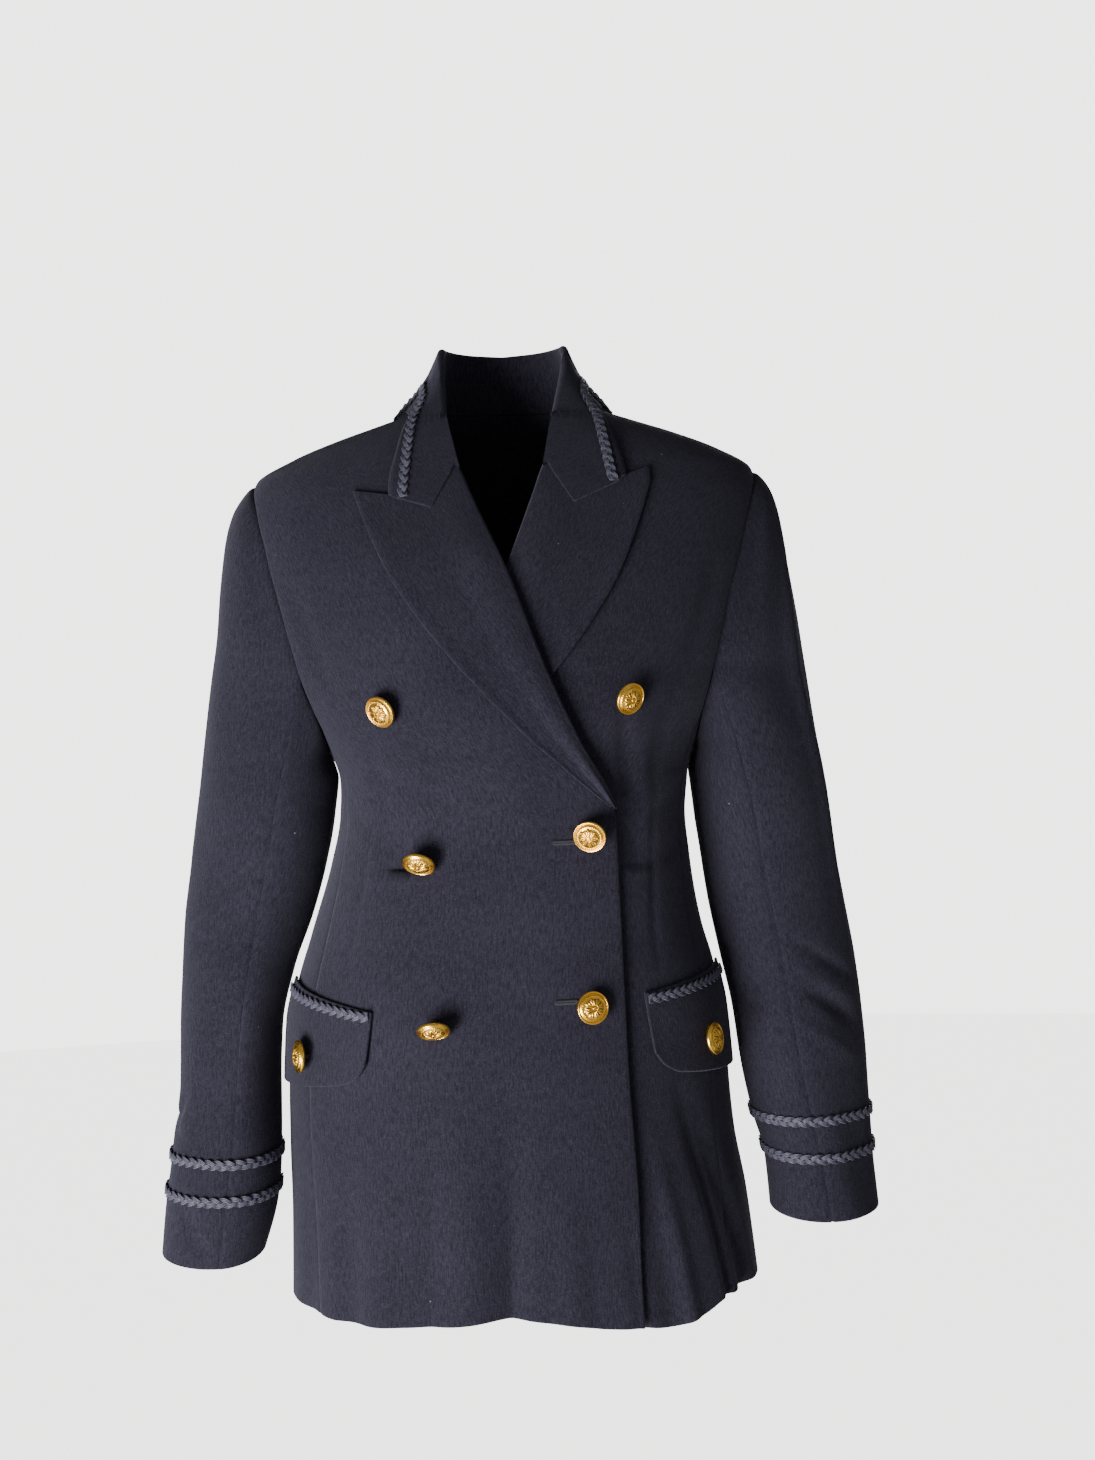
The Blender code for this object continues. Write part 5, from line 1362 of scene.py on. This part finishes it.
def add_buttonhole(hole):
    """Worked buttonhole on the over front: a slit with stitches set all round it."""
    stitch = bpy.context.scene.blazer_buttons.stitch
    half = (hole.to_x - hole.from_x) / 2
    straight = np.linspace(-half, half, 40, endpoint=False)
    turn = np.radians(np.linspace(-90, 90, 12, endpoint=False))
    lower = np.stack([straight, 0 * straight - BUTTONHOLE_GAP], axis=1)
    end = np.stack([half + BUTTONHOLE_GAP * np.cos(turn), BUTTONHOLE_GAP * np.sin(turn)], axis=1)
    loop = np.vstack([lower, end, -lower, -end])
    x, z = (hole.from_x + hole.to_x) / 2 + loop[:, 0], hole.z + loop[:, 1]
    angle = angle_at(x, z)
    lift = front_lift(RIGHT, angle, z)
    path = body(angle, z, lift + 0.1)
    points, ahead, out = resample(path, unit(body(angle, z, lift + 1) - path), stitch / MM, closed=True)
    tree = bpy.data.node_groups.get("buttonhole_stitches") or stitch_tree(get_material("sewing_thread"))
    values = {"Thread Thickness": stitch, "Stitch Length": STITCH_LENGTH}
    grow_on_path(hole.name, tree, points, ahead, out, values)


# ------------------------------------------------------------------ operators
class BLAZER_OT_fronts(bpy.types.Operator):
    """Build the over front and the under front"""
    bl_idname = "blazer.fronts"
    bl_label = "Fronts"

    def execute(self, context):
        for side, label in SIDES:
            outer = "last" if side == LEFT else "first"
            add_cloth(f"front_{label}", seam_sink(front_grid(side), (outer, "top")), CLOTH)
        return {"FINISHED"}


class BLAZER_OT_backs(bpy.types.Operator):
    """Build the two backs and the side panels"""
    bl_idname = "blazer.backs"
    bl_label = "Backs and side panels"

    def execute(self, context):
        for side, label in SIDES:
            add_cloth(f"back_{label}", seam_sink(back_grid(side), ALL_SEAMS), CLOTH)
            add_cloth(f"side_panel_{label}", seam_sink(side_panel_grid(side), ALL_SEAMS), CLOTH)
        return {"FINISHED"}


class BLAZER_OT_sleeves(bpy.types.Operator):
    """Build the top and under sleeves"""
    bl_idname = "blazer.sleeves"
    bl_label = "Sleeves"

    def execute(self, context):
        for side, label in SIDES:
            for half, grid in (("top", top_sleeve_grid), ("under", under_sleeve_grid)):
                kind = f"sleeve_{half}"
                add_cloth(f"{kind}_{label}", seam_sink(grid(side), ALL_SEAMS), CLOTH)
        return {"FINISHED"}


class BLAZER_OT_collar(bpy.types.Operator):
    """Build the collar and the lapels"""
    bl_idname = "blazer.collar"
    bl_label = "Collar and lapels"

    def execute(self, context):
        add_cloth("collar", collar_grid(np.linspace(1, -1, COLLAR_STATIONS)), COLLAR_CLOTH)
        for side, label in SIDES:
            add_cloth(f"lapel_{label}", lapel_grid(side), LAPEL_CLOTH)
        return {"FINISHED"}


class BLAZER_OT_flaps(bpy.types.Operator):
    """Build the pocket flaps"""
    bl_idname = "blazer.flaps"
    bl_label = "Pocket flaps"

    def execute(self, context):
        for side, label in SIDES:
            add_cloth(f"flap_{label}", flap_grid(side), FLAP_CLOTH)
        return {"FINISHED"}


class BLAZER_OT_braid(bpy.types.Operator):
    """Plait the braid along the collar, the flaps and the cuffs"""
    bl_idname = "blazer.braid"
    bl_label = "Braid"

    def execute(self, context):
        add_braid("braid_collar", *collar_braid_path())
        for side, label in SIDES:
            add_braid(f"braid_flap_{label}", *flap_braid_path(side))
            for above, row in zip(CUFF_BRAID_ABOVE[side], ("upper", "lower")):
                add_braid(f"braid_cuff_{label}_{row}", *cuff_path(side, above), closed=True)
        return {"FINISHED"}


class BLAZER_OT_buttons(bpy.types.Operator):
    """Build the buttons and the worked buttonholes"""
    bl_idname = "blazer.buttons"
    bl_label = "Buttons and buttonholes"

    def execute(self, context):
        for button in FRONT_BUTTONS:
            angle = angle_at(button.x, button.z)
            lift = front_lift(button.layer, angle, button.z)
            seat = body(angle, button.z, lift)
            add_button(button.name, seat, body(angle, button.z, lift + 1) - seat, button.droop, button.lean)
        for button in FLAP_BUTTONS:
            place = flap_coordinates(button.side, button.angle, button.z)
            seat = flap_point(button.side, *place, FLAP_CLOTH)
            out = flap_point(button.side, *place, FLAP_CLOTH + 1) - seat
            add_button(button.name, seat, out, button.droop, button.lean)
        for hole in BUTTONHOLES:
            add_buttonhole(hole)
        return {"FINISHED"}


class BLAZER_OT_stage(bpy.types.Operator):
    """Set the floor, the lights and the camera"""
    bl_idname = "blazer.stage"
    bl_label = "Stage"

    def execute(self, context):
        self.add_floor(context.scene.blazer_stage)
        self.add_lights(context)
        self.add_camera(context)
        return {"FINISHED"}

    def add_floor(self, stage):
        mesh = bpy.data.meshes.new("floor")
        turn = np.linspace(0, 2 * pi, FLOOR_SIDES, endpoint=False)
        ring = xyz(FLOOR_RADIUS * np.cos(turn), FLOOR_RADIUS * np.sin(turn), stage.floor_z)
        mesh.from_pydata(ring.tolist(), [], [list(range(FLOOR_SIDES))])
        mesh.materials.append(get_material("pale_floor"))
        add_object("floor", mesh)

    def add_lights(self, context):
        stage = context.scene.blazer_stage
        world = bpy.data.worlds.new("studio")
        world.use_nodes = True
        graph = Graph(world.node_tree)
        seen = graph.node("ShaderNodeLightPath").outputs["Is Camera Ray"]
        backdrop = world.node_tree.nodes["Background"]
        graph.put((*SKY_COLOUR, 1), backdrop.inputs[0])
        graph.put(graph.ramp(seen, 0.0, 1.0, stage.sky, stage.wall), backdrop.inputs[1])
        context.scene.world = world
        for light in LIGHTS:
            lamp = bpy.data.lights.new(light.name, "AREA")
            lamp.shape = "DISK"
            lamp.size, lamp.color = light.size, light.colour
            lamp.energy = getattr(stage, light.power)
            made = add_object(light.name, lamp)
            made.location = light.place
            beam = Vector(LIT_POINT) - Vector(light.place)
            made.rotation_euler = beam.to_track_quat("-Z", "Y").to_euler()

    def add_camera(self, context):
        yaw = radians(CAMERA_YAW)
        aside, ahead = Vector((cos(yaw), sin(yaw), 0)), Vector((-sin(yaw), cos(yaw), 0))
        up = Vector((0, 0, 1))
        lens = bpy.data.cameras.new("camera")
        lens.sensor_fit = "VERTICAL"
        lens.sensor_height = SENSOR_MM
        lens.lens = PHOTO_LENS_PX / PHOTO_HEIGHT_PX * SENSOR_MM
        made = add_object("camera", lens)
        rolled = Matrix.Rotation(radians(CAMERA_ROLL), 4, "Z")
        turned = Matrix((aside, up, -ahead)).transposed().to_4x4() @ rolled
        place = -ahead * CAMERA_DISTANCE + aside * CAMERA_ASIDE + up * CAMERA_HEIGHT
        made.matrix_world = Matrix.Translation(place) @ turned
        context.scene.camera = made


class BLAZER_PT_panel(bpy.types.Panel):
    """Everything that builds the blazer"""
    bl_idname = "BLAZER_PT_panel"
    bl_label = "Blazer"
    bl_space_type = "VIEW_3D"
    bl_region_type = "UI"
    bl_category = "Blazer"

    def draw(self, context):
        for operator in OPERATORS:
            self.layout.operator(operator.bl_idname)
        for group in GROUPS:
            settings = getattr(context.scene, group)
            box = self.layout.box()
            for name in settings.bl_rna.properties.keys():
                if name not in ("rna_type", "name"):
                    box.prop(settings, name)


OPERATORS = (
    BLAZER_OT_fronts, BLAZER_OT_backs, BLAZER_OT_sleeves, BLAZER_OT_collar, BLAZER_OT_flaps,
    BLAZER_OT_braid, BLAZER_OT_buttons, BLAZER_OT_stage,
)
GROUPS = {
    "blazer_cloth": BlazerCloth,
    "blazer_braid": BlazerBraid,
    "blazer_buttons": BlazerButtons,
    "blazer_stage": BlazerStage,
}


def register():
    for name, group in GROUPS.items():
        bpy.utils.register_class(group)
        setattr(bpy.types.Scene, name, PointerProperty(type=group))
    for operator in OPERATORS:
        bpy.utils.register_class(operator)
    bpy.utils.register_class(BLAZER_PT_panel)


def unregister():
    bpy.utils.unregister_class(BLAZER_PT_panel)
    for operator in reversed(OPERATORS):
        bpy.utils.unregister_class(operator)
    for name, group in GROUPS.items():
        delattr(bpy.types.Scene, name)
        bpy.utils.unregister_class(group)


def main():
    register()
    bpy.ops.blazer.fronts()
    bpy.ops.blazer.backs()
    bpy.ops.blazer.sleeves()
    bpy.ops.blazer.collar()
    bpy.ops.blazer.flaps()
    bpy.ops.blazer.braid()
    bpy.ops.blazer.buttons()
    bpy.ops.blazer.stage()


if __name__ == "__main__":
    main()
